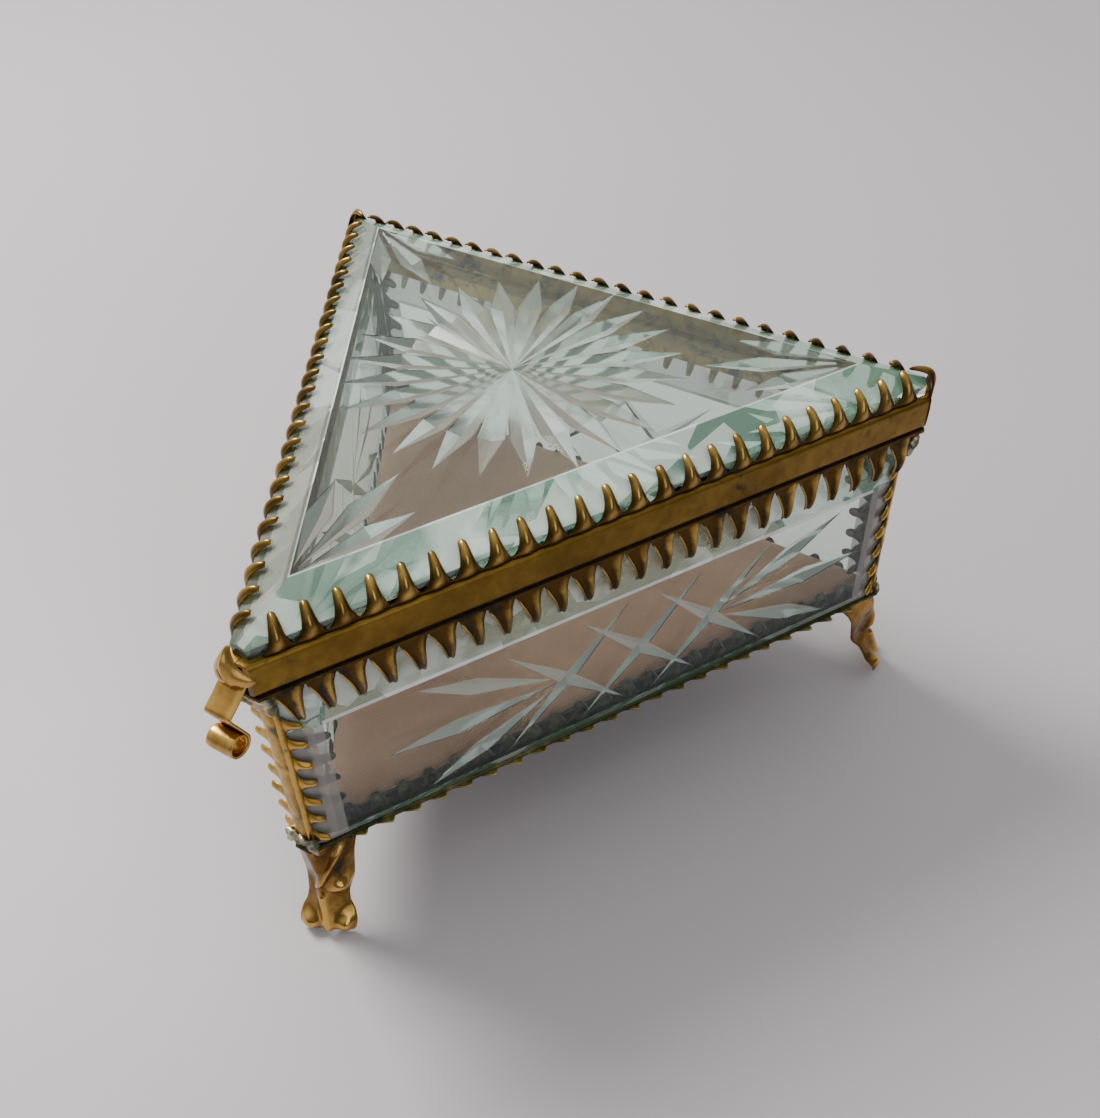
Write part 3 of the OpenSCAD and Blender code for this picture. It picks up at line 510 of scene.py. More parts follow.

# %% [markdown]
# ## The gallery of the base
# The same strip turned upside down hangs from the rail, so its tips lean to the right.
# It bulges away from the glass and touches it again only with its tips, and its longer
# edge is curled out to a thin rim, painted bright as a highlight.

# %% Claws over the panes
base_claw = [
    (0.5, 0.0, -P, P, 0.5), (0.4, 0.9, -P, P, 0.7), (0.3, 1.7, -2.75, 2.95, 0.8),
    (0.15, 2.7, -2.2, 2.5, 0.9), (0.0, 3.9, -1.95, 1.9, 1.0), (-0.1, 5.3, -1.85, 1.3, 1.0),
    (-0.05, 6.7, -1.8, 0.8, 0.95), (0.15, 8.1, -1.75, 0.4, 0.85), (0.5, 9.4, -1.7, 0.05, 0.7),
    (0.95, 10.6, -1.6, -0.25, 0.5), (1.15, 11.0, -1.4, -0.45, 0.3)]
CUPPED = ((-1, 0.0), (-0.72, 0.6), (-0.45, 1.0), (-0.15, 0.7), (0.2, 0.12), (0.6, -0.1),
          (0.88, 0.1), (1, 0.45))
UNDER_RAIL = 0.9
for number, side in enumerate(SIDES):
    metal = back_brass if side == "back" else claw_brass
    strip = claw_row("base_claws_" + side, claw_mesh("base claw", base_claw, 1.0, CUPPED),
                     CLAW_COUNT, CLAW_PITCH, wobble=0.6, seed=number + 4, metal=metal)
    put(strip, on_side(side) @ shift(z=RAIL_Z + UNDER_RAIL) @ TIP_OVER, metal,
        "casket", ["base_gallery_" + side], thick=0.5)
    print(strip.name, len(strip.polygons), "faces")

# %% [markdown]
# ## The claws inside
# Behind the foot of each pane stands a dark strip of leaf-shaped claws. Seen through the
# bevel of the glass it looks like weed in water. It is coloured dark grey-green as painted
# shade, for the shadow it stands in behind the green glass, so it gets its own finish.

# %% Claws behind the panes
leaf_claw = [
    (5.7, 0.1, -P, P, 0.2), (5.7, 1.6, -P, P, 0.4), (5.7, 2.6, -2.5, 2.6, 0.7),
    (5.65, 3.9, -1.7, 2.0, 0.8), (5.65, 5.0, -1.9, 1.6, 0.7), (5.7, 6.2, -1.7, 0.9, 0.5),
    (5.75, 7.3, -1.1, 0.0, 0.3)]
for number, side in enumerate(SIDES):
    strip = claw_row("inner_claws_" + side, claw_mesh("inner claw", leaf_claw, 0.35),
                     INNER_COUNT, CLAW_PITCH, wobble=0.35, seed=number + 7,
                     metal=shaded_inner_brass)
    put(strip, on_side(side) @ shift(z=BASE_Z), shaded_inner_brass, "casket",
        ["inner_gallery_" + side], thick=0.4)
    print(strip.name, len(strip.polygons), "faces")

# %% [markdown]
# ## The uprights inside
# Each corner also has a narrow upright behind the glass, with leaf fingers to both sides.
# It is the same row of claws stood on end, one row for each pane, with a flat strip
# between them.

# %% Uprights behind the corners


def stood(corner, sign, along, z):
    """Matrix from a row stood on end to metres.

    The row lies `along` from the corner, on the side that starts there (+1) or that
    ends there (-1), with its middle at the height z.
    """
    return (turned((CORNERS[corner] + 60 * sign) % 360, INRADIUS)
            @ shift(-sign * (HALF_SIDE - along), 0, z) @ turn_about("Y", 90 * sign))


LEAVES = 6
LEAF_LOW, LEAF_HIGH = BASE_Z + 8.2, high("inner_post_front").z
L = (LEAF_HIGH - LEAF_LOW) / LEAVES / 2
LEAF_LEAN = 0.12
LEAF = ((0, L, 0.1), (0.9, L, 0.3), (1.7, 2.1, 0.7), (2.8, 1.3, 0.9), (3.9, 1.55, 0.9),
        (4.8, 1.2, 0.7), (5.4, 0.5, 0.3))
LEAF_DEPTH, LEAF_ROOT, SPINE_DEPTH, SPINE_HALF = 5.7, 12.2, 12.95, 1.2
for number, corner in enumerate(CORNERS):
    home = at_corner(corner)
    parts = []
    for sign in (1, -1):
        leaf = [(LEAF_DEPTH, reach, LEAF_LEAN * sign * reach - half,
                 LEAF_LEAN * sign * reach + half, ridge) for reach, half, ridge in LEAF]
        row = claw_row("leaves", claw_mesh("leaf", leaf, 0.35), LEAVES, 2 * L, wobble=0.5,
                       seed=number * 2 + sign + 30, metal=shaded_inner_brass)
        middle = (LEAF_LOW + LEAF_HIGH) / 2
        row.transform(home.inverted() @ stood(corner, sign, LEAF_ROOT, middle))
        parts.append(row)
    points = [(x, SPINE_DEPTH + 0.25 * abs(x), z) for z in (BASE_Z, LEAF_HIGH)
              for x in (-SPINE_HALF, 0, SPINE_HALF)]
    parts.append(sheet("spine", points, 3, [0.3] * len(points)))
    put(joined("inner_upright_" + corner, parts), home, shaded_inner_brass, "casket",
        ["inner_post_" + corner], thick=0.35)
print("inner uprights made,", LEAVES, "leaves on a side")

# %% [markdown]
# ## The soles
# A flat strip under each pane carries the glass and the floor. The tips of its outer
# scallops are bent up against the pane, so only small fins show below it. The strip is a
# closed plate with its ends cut to the mitre; the fins are the same row of claws, short
# and lying nearly flat, joined to it.

# %% Strips under the panes


def plate(outline, z0, z1):
    """A closed plate from its outline, as a bmesh."""
    bm = bmesh.new()
    lower = [bm.verts.new((x, y, z0)) for x, y in outline]
    upper = [bm.verts.new((x, y, z1)) for x, y in outline]
    bm.faces.new(upper)
    bm.faces.new(lower[::-1])
    for i in range(len(outline)):
        k = (i + 1) % len(outline)
        bm.faces.new((lower[i], lower[k], upper[k], upper[i]))
    return bm


SOLE_CUT, SOLE_THICK = 7, 0.8
FIN_THICK, FIN_COUNT = 0.35, CLAW_COUNT - 2


def mitre(y):
    """Half the length of a sole at the distance y from the outer plane."""
    if y < SOLE_CUT / 2:
        return HALF_SIDE - (SOLE_CUT - y / 2) / C30
    return HALF_SIDE - y / T30


fin = [(2.4, 0.1, -P, P, 0.0), (1.9, 0.1, -2.0, 2.4, 0.2), (1.5, 0.15, -1.2, 2.1, 0.5),
       (1.05, 0.35, -0.4, 1.9, 0.9), (0.65, 0.6, 0.4, 1.75, 0.9), (0.35, 0.8, 0.9, 1.5, 0.6)]
for number, side in enumerate(SIDES):
    right = [(mitre(y), y) for y in (1.9, 3.5, 9.5)]
    flat = bpy.data.meshes.new("flat")
    outline = [(-x, y) for x, y in reversed(right)] + right
    plate(outline, 0.02, SOLE_THICK - 0.02).to_mesh(flat)
    paint(flat, "wear", [0.0] * len(flat.vertices))
    fins = claw_row("fins", claw_mesh("fin", fin, 0.5), FIN_COUNT, CLAW_PITCH, wobble=0.45,
                    seed=number + 10, metal=sole_brass)
    thick = bmesh.new()
    thick.from_mesh(fins)
    bmesh.ops.solidify(thick, geom=thick.faces[:], thickness=FIN_THICK)
    thick.to_mesh(fins)
    put(joined("sole_" + side, [flat, fins]), on_side(side) @ shift(z=SOLE_Z), sole_brass,
        "casket", ["sole_strip_" + side], smooth=0)
print("soles made")

# %% [markdown]
# ## The corner posts
# A post is one strip folded over the cut edges of two panes. Its middle has soft creases,
# one edge is folded to a thin line with a painted highlight, and on both flanks fingers
# reach over the upright bevel of the glass. The middle is drawn as a section pulled up the
# corner, with painted light and shade across it; the fingers are a row of claws stood on
# end.

# %% Posts at the corners
PANE_CUT = 8.8
FINGERS = 7
FINGER_PITCH = (PANE_TOP - BASE_Z - 8.4) / FINGERS
F = FINGER_PITCH / 2
FINGER = ((0.1, F, F, 0.1), (0.7, F, F, 0.35), (1.3, 2.1, 2.1, 0.8), (2.0, 1.4, 1.4, 1.0),
          (2.9, 1.2, 1.2, 1.0), (3.8, 1.1, 1.1, 0.9), (4.3, 0.7, 0.7, 0.4))
FINGER_LEAN = 0.5
FLANK_AT = 1.75  # the flank's root lies this far outside the cut edge of the pane
ON_GLASS, OFF_GLASS = 0.25, 2.0


def finger_rows(lean, lifted):
    """A blunt finger along the bevel, leaning by `lean` and bent off the glass by `lifted`."""
    rows = []
    for reach, left, right, ridge in FINGER:
        slip = lean * max(0, reach - 1) / 3
        off = lifted * (reach / 3.95) ** 1.3
        rows.append((2.9 - reach / 3 - off, reach - off * 0.3, slip - left, slip + right, ridge))
    return rows


# A point of the section is (across, outward, brightness). The brightness is painted light
# and shade: a highlight on the fold, the broad flank lit, and the groove beside the fold
# painted dark as shade.
SECTION = ((-2.9, 0.6, 0.3), (-2.5, 0.05, 0.6), (-1.9, -0.2, 0.55), (-1.1, -0.26, 0.5),
           (-0.3, -0.28, 0.45), (0.4, -0.25, 0.4), (0.95, -0.08, 0.25), (1.35, 0.02, 0.2),
           (1.6, -0.3, 0.8), (1.82, -0.66, 1.0), (2.05, -0.35, 0.8), (2.7, 0.5, 0.3))
POST_ROWS = 34


def post_middle(seed):
    points, wear = [], []
    for i in range(POST_ROWS + 1):
        z = (PANE_TOP - BASE_Z) * i / POST_ROWS
        for x, y, bright in SECTION:
            sway = noise.noise(Vector((x * 0.25, seed * 7.0, z * 0.16)))
            ripple = noise.noise(Vector((x * 0.9, seed * 3.0, z * 0.5)))
            points.append((x + 0.25 * sway, PANE_CUT - 0.35 + y - 0.34 * ripple, z))
            wear.append(min(1.0, max(0.0, bright + 0.3 * ripple)))
    return sheet("middle", points, len(SECTION), wear)


for number, corner in enumerate(CORNERS):
    home = at_corner(corner)
    middle = post_middle(number)
    middle.transform(shift(z=BASE_Z))
    parts = [middle]
    for sign in (1, -1):
        lifted = OFF_GLASS if corner == "front" and sign == -1 else ON_GLASS
        finger = claw_mesh("finger", finger_rows(FINGER_LEAN * sign, lifted), 0.75)
        row = claw_row("fingers", finger, FINGERS, FINGER_PITCH, wobble=0.9,
                       seed=number * 2 + sign + 20, metal=post_brass)
        row.transform(home.inverted() @ stood(corner, sign, (PANE_CUT - FLANK_AT) / C30,
                                              BASE_Z + 0.35 + FINGERS * F))
        parts.append(row)
    put(joined("post_" + corner, parts), home, post_brass, "casket",
        ["corner_post_" + corner], thick=0.42)
print("posts made,", FINGERS, "fingers on a flank")

# %% [markdown]
# ## The corners of the lid
# At the two hinge corners one broad claw folds over the cut corner of the glass and a
# curved cap closes the ends of the bands below it.

# %% Corner claws and caps
corner_rows = [
    (5.0, 0.1, -3.3, 3.3, 0.2), (4.95, 1.0, -3.2, 3.2, 0.5), (4.9, 2.2, -2.7, 2.7, 0.9),
    (4.95, 3.6, -2.1, 2.1, 1.0), (5.6, 4.9, -1.6, 1.6, 1.0), (7.0, 5.5, -1.15, 1.15, 0.9),
    (8.8, 5.75, -0.8, 0.8, 0.7), (10.3, 5.7, -0.4, 0.4, 0.4)]
cap_rows = [
    (4.9, -7.9, -3.1, 3.1, 0.3), (4.8, -6.0, -3.2, 3.2, 0.5), (4.75, -3.8, -3.2, 3.2, 0.6),
    (4.75, -1.6, -3.2, 3.2, 0.55), (4.85, 0.2, -3.3, 3.3, 0.35)]
for corner in ("right", "left"):
    parts = [claw_mesh("hook", corner_rows, 1.1), claw_mesh("cap", cap_rows, 0.5)]
    put(joined("lid_corner_claw_" + corner, parts), at_corner(corner) @ shift(z=BAND_TOP),
        claw_brass, "lid", ["lid_corner_" + corner], thick=0.5)
print("lid corners made")

# %% [markdown]
# ## The thumb lift
# One strip of sheet, soldered under a domed boss at the front corner of the lid. It runs
# down, is folded sharply back and ends in a roll for the thumb. The strip follows
# the path that the CAD model uses; the boss is a claw sheet with an oval hole punched in
# its left flank and a wing that reaches the end of the band.

# %% Path of the strip
SLOPE, FOLD_RADIUS, FOLD_END, FALL, ROLL_RADIUS, ROLL_INNER = 35, 1.1, 204, 6.4, 2.0, 1.1
COIL_STEP, COIL_POINTS, COIL_LOOSE = 12, 37, 18  # degrees, points, points before it tightens


def polar(centre, radius, angle):
    """The point of a circle at an angle in degrees."""
    a = math.radians(angle)
    return centre[0] + radius * math.cos(a), centre[1] + radius * math.sin(a)


def lift_path():
    """Points (y, z) down the run, round the fold, down the fall and round the roll."""
    fold = (-1.1, BAND_TOP - 7.24)
    roll = polar(polar(fold, FOLD_RADIUS + ROLL_RADIUS, FOLD_END), FALL, FOLD_END + 90)
    turn = polar(fold, FOLD_RADIUS, SLOPE + 90)
    path = []
    for d in (6.4, 5, 3.6, 2.2, 1):
        y, z = polar(turn, d, SLOPE)
        path.append((y, z - 0.25 * math.sin(d * 0.48)))
    for i in range(9):
        start = 90 + SLOPE
        path.append(polar(fold, FOLD_RADIUS, start + (FOLD_END - start) * i / 8))
    for i in range(COIL_POINTS):
        tighter = max(0, i - COIL_LOOSE) / (COIL_POINTS - 1 - COIL_LOOSE)
        radius = ROLL_RADIUS - (ROLL_RADIUS - ROLL_INNER) * tighter
        path.append(polar(roll, radius, FOLD_END - 180 - COIL_STEP * i))
    return path


def ribbon(name, path, half, crown):
    """A strip along a path in the YZ plane, its edges slightly turned."""
    lanes = ((-1, 0.0), (-0.93, 0.8), (-0.5, 1.0), (0, 0.8), (0.5, 1.0), (0.93, 0.8), (1, 0.0))
    points, wear = [], []
    for i, (y, z) in enumerate(path):
        a, b = path[max(i - 1, 0)], path[min(i + 1, len(path) - 1)]
        length = math.hypot(b[0] - a[0], b[1] - a[1])
        ny, nz = (b[1] - a[1]) / length, -(b[0] - a[0]) / length
        for lane, lift in lanes:
            points.append((lane * half, y - ny * crown * lift, z - nz * crown * lift))
            wear.append(0.9 if abs(lane) > 0.9 else 0.45)
    return sheet(name, points, len(lanes), wear, faces_up=False)


# %% Boss and strip
BOSS_LANES = ((-1, 0.0), (-0.8, 0.4), (-0.55, 0.7), (-0.28, 0.85), (-0.1, 0.94), (0.0, 1.12),
              (0.1, 0.94), (0.35, 0.82), (0.65, 0.5), (1, 0.0))
boss_rows = [
    (3.4, -4.0, -2.3, 2.6, 0.5), (3.1, -3.2, -2.9, 3.4, 0.9), (3.0, -2.3, -3.2, 5.2, 1.1),
    (2.95, -1.2, -3.2, 5.4, 1.25), (3.0, 0.0, -3.1, 3.6, 1.35), (3.1, 1.2, -2.7, 2.3, 1.35),
    (3.35, 2.3, -2.1, 1.6, 1.3), (3.8, 3.2, -1.5, 1.1, 1.15), (4.4, 3.9, -1.0, 0.7, 0.9),
    (5.1, 4.4, -0.6, 0.3, 0.6)]
PUNCHED = ((3, 2), (4, 2))
BOSS_TURN, BOSS_AXIS = 13, 7
boss = claw_mesh("boss", boss_rows, 1.5, BOSS_LANES, PUNCHED)
boss.transform(shift(0, BOSS_AXIS, BAND_TOP) @ turn_about("Z", BOSS_TURN)
               @ shift(-0.7, -BOSS_AXIS))
strip = ribbon("strip", lift_path(), half=2.95, crown=0.08)
put(joined("thumb_lift_sheet", [boss, strip]), at_corner("front"), lift_brass, "lid",
    ["thumb_lift"], thick=0.6)
print("thumb lift made")

# %% [markdown]
# ## The feet
# Each foot is thin brass stamped over a die: a leaf folded round the corner, with a
# slanting rib, a round boss and two toes. It is drawn as a grid: the outline gives each
# row its width, the fold gives its depth, and ridges and bumps are added the way a
# chaser would, as soft hills along lines and round points.

# %% The relief of a foot


def between(table, at):
    """Straight-line value from a table of (place, value)."""
    for (a, u), (b, v) in zip(table, table[1:]):
        if at <= b:
            return u + (v - u) * max(0, at - a) / (b - a)
    return table[-1][1]


def hill(x, z, a, b, wide):
    """1 on the line from a to b, falling away on both sides."""
    ax, az, bx, bz = *a, *b
    long = (bx - ax) ** 2 + (bz - az) ** 2
    t = min(1, max(0, ((x - ax) * (bx - ax) + (z - az) * (bz - az)) / long)) if long else 0
    gap = math.hypot(x - ax - t * (bx - ax), z - az - t * (bz - az))
    return math.exp(-(gap / wide) ** 2)


DRAWN_TALL = 24.88  # the tables go up to here; the foot is stretched to the CAD's height
WIDTH = ((0, 4.8), (1.2, 6.2), (3.2, 6.6), (5.2, 6.0), (7, 5.0), (9, 4.7), (12, 5.6), (15, 6.0),
         (20, 6.5), (25, 7.4))
NOSE = ((0, 4.5), (2.4, 3.9), (6, 5.3), (11, 6.8), (14.6, 6.5), (19, 6.3), (22, 6.9), (25, 8.4))
FOLD = ((0, 0.15), (3, 0.35), (6, 0.7), (9, 1.15), (13, 1.5), (25, 1.6))
FOLD_ROUND = 2.4
# A hill is (from, to, width, height): the rib and its groove, the boss, the toes, creases
RELIEF = (
    ((4.3, 23.2), (-1.2, 13.6), 0.75, 1.5), ((4.3, 23.2), (-1.2, 13.6), 2.2, -0.6),
    ((3.1, 12.6), (3.1, 12.6), 1.7, 2.1), ((-4.0, 2.8), (-4.0, 2.8), 1.9, 1.5),
    ((4.0, 2.8), (4.0, 2.8), 1.9, 1.5), ((-0.6, 10.5), (0.2, 2.0), 1.0, 1.2),
    ((-3.0, 19.0), (-3.6, 12.0), 1.4, -0.5), ((1.8, 17.5), (3.8, 19.5), 1.3, -0.4))
FOOT_COLUMNS, FOOT_ROWS = 26, 44
LOWEST = 0.02


def foot_mesh(name):
    points, hills = [], []
    for i in range(FOOT_ROWS + 1):
        for j in range(FOOT_COLUMNS + 1):
            u = 2 * j / FOOT_COLUMNS - 1
            toe = 1.5 * math.exp(-(u / 0.28) ** 2) + 0.5 * abs(u) ** 3
            z = toe + (DRAWN_TALL - toe) * i / FOOT_ROWS
            x = between(WIDTH, z) * u
            y = between(NOSE, z) + between(FOLD, z) * (math.hypot(x, FOLD_ROUND) - FOLD_ROUND)
            points.append((x, y, z * FOOT_TOP / DRAWN_TALL))
            hills.append(sum(tall * hill(x, z, a, b, wide) for a, b, wide, tall in RELIEF))
    # Raised parts are painted brighter and grooves darker: partly wear, partly a painted
    # highlight on the rib, boss and toes and painted shade in the grooves.
    wear = [min(1.0, max(0.0, 0.35 + 0.5 * raised)) for raised in hills]
    mesh = sheet(name, points, FOOT_COLUMNS + 1, wear)
    normals = [v.normal.copy() for v in mesh.vertices]
    for vertex, normal, raised in zip(mesh.vertices, normals, hills):
        vertex.co += normal * raised
        vertex.co.z = max(vertex.co.z, LOWEST)
    return mesh


# %% Three feet
FOOT_TURNS = {"front": 24, "right": 0, "left": 0}
FOOT_AXIS, SIDESTEP = 9, 0.09  # a turned foot also stands a little to the right
for corner, turn in FOOT_TURNS.items():
    spin = shift(turn * SIDESTEP, FOOT_AXIS) @ turn_about("Z", turn) @ shift(y=-FOOT_AXIS)
    mesh = foot_mesh("leaf_foot_" + corner)
    put(mesh, at_corner(corner) @ spin, foot_brass, "casket", ["foot_" + corner],
        thick=0.6)
print("a foot has", len(mesh.polygons), "faces")

# %% [markdown]
# ## Solder
# The joints were made by hand with a lot of solder, which lies in rough lumps over the
# top and the bottom of each post. Lumps are balls of different sizes merged by a voxel
# remesh, which gives the soft joins that real solder has.

# %% Lumps of solder


LUMP_VOXEL = 0.28
TOP_LUMPS, BOTTOM_LUMPS = 40, 20


def lumps(name, balls, corner):
    """One rough lump from balls (x, y, z, radius, flatness)."""
    bm = bmesh.new()
    for x, y, z, r, flat in balls:
        bmesh.ops.create_icosphere(bm, subdivisions=3, radius=r,
                                   matrix=shift(x, y, z) @ Matrix.Diagonal((1, flat, 1, 1)))
    mesh = bpy.data.meshes.new(name)
    bm.to_mesh(mesh)
    thing = add("lump", mesh)
    merge = thing.modifiers.new("merge", "REMESH")
    merge.mode, merge.voxel_size = "VOXEL", LUMP_VOXEL
    done = evaluated(thing)
    bpy.data.objects.remove(thing)
    done.name = name
    for vertex in done.vertices:
        vertex.co += vertex.normal * 0.28 * noise.noise(vertex.co * 1.1)
    paint(done, "wear", [0.5 + 0.5 * noise.noise(v.co * 0.8) for v in done.vertices])
    put(done, at_corner(corner), solder, "casket", smooth=0)


for seed, corner in enumerate(CORNERS):
    dice = random.Random(seed + 3)
    balls = []
    for _ in range(TOP_LUMPS):
        drop = dice.triangular(1.3, 7.5, 2.5)
        balls.append((dice.uniform(-3.6, 2.2), 6.6 + 0.18 * drop + dice.uniform(-0.4, 0.4),
                      PANE_TOP + 0.9 - drop, dice.uniform(0.8, 1.6), 0.8))
    for _ in range(BOTTOM_LUMPS):
        balls.append((dice.uniform(-3.8, 3.8), PANE_CUT - 1.0 + dice.uniform(-0.4, 0.3),
                      BASE_Z + dice.triangular(0.1, 3.6, 0.4), dice.uniform(0.6, 1.2), 0.6))
    lumps("solder_" + corner, balls, corner)
print("solder made")

# %% [markdown]
# ## The glass
# Old plate glass is faintly green, which shows where light goes a long way through it, so
# the body of the glass is clear and its colour is in the volume. The bevels look milky in
# the photograph, as they throw the bright room back in flat patches, and the wheel left
# the cuts rough and whitish. Both get a share of an opaque pale shader, by masks: on the
# bevels it is a painted reflection of the room, grey on the upright ones and brown on the
# back pane, with a painted highlight line where a bevel meets the flat, and on the cuts
# it is their own whitish frost. A point is in a cut if it lies just below the face that
# the plate would have without cuts, which its Object coordinates tell.

# %% Glass finish
CLEAR, GREEN_BODY, BODY_DENSITY = (0.97, 1.0, 0.985, 1), (0.70, 0.95, 0.84, 1), 45
# Painted reflection of the room in the bevels: mint patches, the brass behind the back pane in
# brown, grey on the upright bevels. FROSTED is the cuts' own whitish frost.
MINT_REFLECTION = ((0.30, 0.56, 0.42, 1), (0.84, 1.0, 0.90, 1))
PAINTED_BRASS_IN_BEVEL = ((0.13, 0.10, 0.04, 1), (0.46, 0.36, 0.16, 1))
FROSTED, GREY_BEVEL_REFLECTION = (0.76, 0.93, 0.84, 1), (0.36, 0.345, 0.325, 1)
# Painted highlight: a bright line where a bevel meets the flat.
EDGE_HIGHLIGHT = (0.92, 0.98, 0.94, 1)
LID_FROST, PANE_FROST = 0.12, 0.36


def glass(name, cuts, frost, reflection_tints=MINT_REFLECTION):
    """cuts(sketch, x, y, z) gives masks, from millimetres: cuts, green and grey painted
    reflection, and a bright line of painted highlight.
    """
    material, s, clear = finish(name, IOR=1.52, Transmission_Weight=1.0, Base_Color=CLEAR)
    nodes, links = s.tree.nodes, s.tree.links
    split = nodes.new("ShaderNodeSeparateXYZ")
    links.new(s.place((1000, 1000, 1000)).socket, split.inputs[0])
    cut, green, grey, line = cuts(s, *(Wire(s, o) for o in split.outputs))
    smear = s.cloud(30, 3).ramp(0.5, 0.8)
    relief = s.bump(s.cloud(0.9, 2) * cut + s.cloud(25, 1) * 0.3, 0.06, 0.25)
    feed(clear, Roughness=cut * 0.14 + smear * 0.02, Normal=relief)
    facets = s.node("ShaderNodeTexVoronoi", (), {
        "Vector": s.place((190, 75, 120), 35), "Scale": 1.0}, "Color")
    shade = s.node("ShaderNodeSeparateColor", (), {"Color": facets})
    patches = (s.cloud(15, 3, s.place((1, 1, 1.6), 25)) + (shade - 0.5) * 0.3).ramp(0.45, 0.60)
    # Colour of the opaque layer: painted reflection on the bevels, the cuts' frost, and the
    # painted highlight line over them.
    tone = s.mix(grey, s.mix(cut, s.mix(patches, *reflection_tints), FROSTED), GREY_BEVEL_REFLECTION)
    frost_and_reflection = nodes.new("ShaderNodeBsdfPrincipled")
    frost_and_reflection.inputs["Roughness"].default_value = 0.25
    feed(frost_and_reflection, Base_Color=s.mix(line, tone, EDGE_HIGHLIGHT))
    # How much of the painted reflection, the painted highlight and the frost shows.
    share = (cut * frost + green * (0.42 + patches * 0.2) + grey * 0.6
             + line * (0.3 + patches * 0.5))
    mix = nodes.new("ShaderNodeMixShader")
    volume = nodes.new("ShaderNodeVolumeAbsorption")
    volume.inputs["Color"].default_value = GREEN_BODY
    volume.inputs["Density"].default_value = BODY_DENSITY
    output = nodes["Material Output"].inputs
    for source, target in ((share.socket, mix.inputs[0]), (clear.outputs[0], mix.inputs[1]),
                           (frost_and_reflection.outputs[0], mix.inputs[2]),
                           (mix.outputs[0], output["Surface"]),
                           (volume.outputs[0], output["Volume"])):
        links.new(source, target)
    return material


def inset_from(angle, x, y):
    """How far a point lies inside the outer plane of a side."""
    a = math.radians(angle)
    return INRADIUS - (x * math.sin(a) - (y - SET_Y) * math.cos(a))


def band_mask(wire, start, end):
    """1 while the wire lies between two values."""
    return wire.above(start, 0.12) * (1 - wire.above(end, 0.12))


def lid_cuts(s, x, y, z):
    right, back, left = (inset_from(a, x, y) for a in SIDES.values())
    nearest = s.math("MINIMUM", s.math("MINIMUM", right, back), left)
    slope = LID_BEVEL_DROP / LID_BEVEL
    face = s.math("MINIMUM", (nearest - LID_INSET) * slope + RIM_Z, LID_TOP)
    below = face - z
    top = 1 - below.above(0.2)
    at_left = 1 - (left - nearest).ramp(0.0, 0.1)
    edge = LID_INSET + LID_BEVEL
    bevel = (1 - nearest.above(edge)) * top
    # Masks: the cuts; painted reflection in mint on the bevels, weaker on the left side; grey
    # painted reflection on the left bevel; a painted highlight line where the bevel meets the
    # flat top.
    return (below.ramp(0.03, 0.1) * (1 - below.above(1.3)), bevel * (1 - at_left * 0.8),
            bevel * at_left * band_mask(nearest, 4, 9.5) * 0.6,
            band_mask(nearest, edge - 0.25, edge + 0.1) * top)


PANE_INSET = 1.5
HEAD_BEVEL, FOOT_BEVEL, END_BEVEL = 14.0, 2.9, 16.1


def pane_cuts(angle):
    def mask(s, x, y, z):
        below = inset_from(angle, x, y) - PANE_INSET
        a = math.radians(angle)
        along = s.math("ABSOLUTE", x * math.cos(a) + (y - SET_Y) * math.sin(a))
        front = 1 - below.above(2.7)
        middle = 1 - along.above(HALF_SIDE - END_BEVEL)
        head = z.above(PANE_TOP - HEAD_BEVEL)
        cut = (below.ramp(0.03, 0.1) * (1 - below.above(1.2))
               * z.above(BASE_Z + FOOT_BEVEL + 0.3) * (1 - head) * middle)
        # Painted reflection in mint on the head bevel and, weaker, on the foot bevel.
        green = front * s.math("MAXIMUM", head, (1 - z.above(BASE_Z + FOOT_BEVEL)) * 0.6)
        # Then the cuts, grey painted reflection on the upright end bevels, and a painted
        # highlight line where the head bevel meets the flat.
        return (cut, green, front * (1 - middle) * (1 - head),
                front * middle * band_mask(z, PANE_TOP - HEAD_BEVEL, PANE_TOP - 13.1))
    return mask


def plain(s, x, y, z):
    return (x * 0.0,) * 4


finishes = {"lid_glass": glass("lid glass finish", lid_cuts, LID_FROST),
            "floor_glass": glass("floor glass finish", plain, LID_FROST)}
for side, angle in SIDES.items():
    # The back pane's bevel is painted brown: a painted image of the brass behind it, drawn
    # out along the bevel.
    finishes["pane_" + side] = glass("pane finish " + side, pane_cuts(angle), PANE_FROST,
                                     PAINTED_BRASS_IN_BEVEL if side == "back" else MINT_REFLECTION)
    finishes["base_rail_" + side] = rail_brass
for node in ("lid_band_right", "lid_band_left", "hinge_lid_leaf", "hinge_base_leaf",
             "hinge_pin"):
    finishes[node] = band_brass
finishes["lid_band_back"] = finishes["base_rail_back"] = back_brass
for node, material in finishes.items():
    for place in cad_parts[node].material_slots:
        place.material = material
print("finished", sorted(finishes))

# %% [markdown]
# ## The lining
# The floor is padded with ribbed cloth over thin wadding. A cloth simulation blows up a
# slightly smaller closed shape, so the top swells between its edges as the real one
# does. How far it may move is limited, because the pad must stay between the panes.

# %% Cloth finish


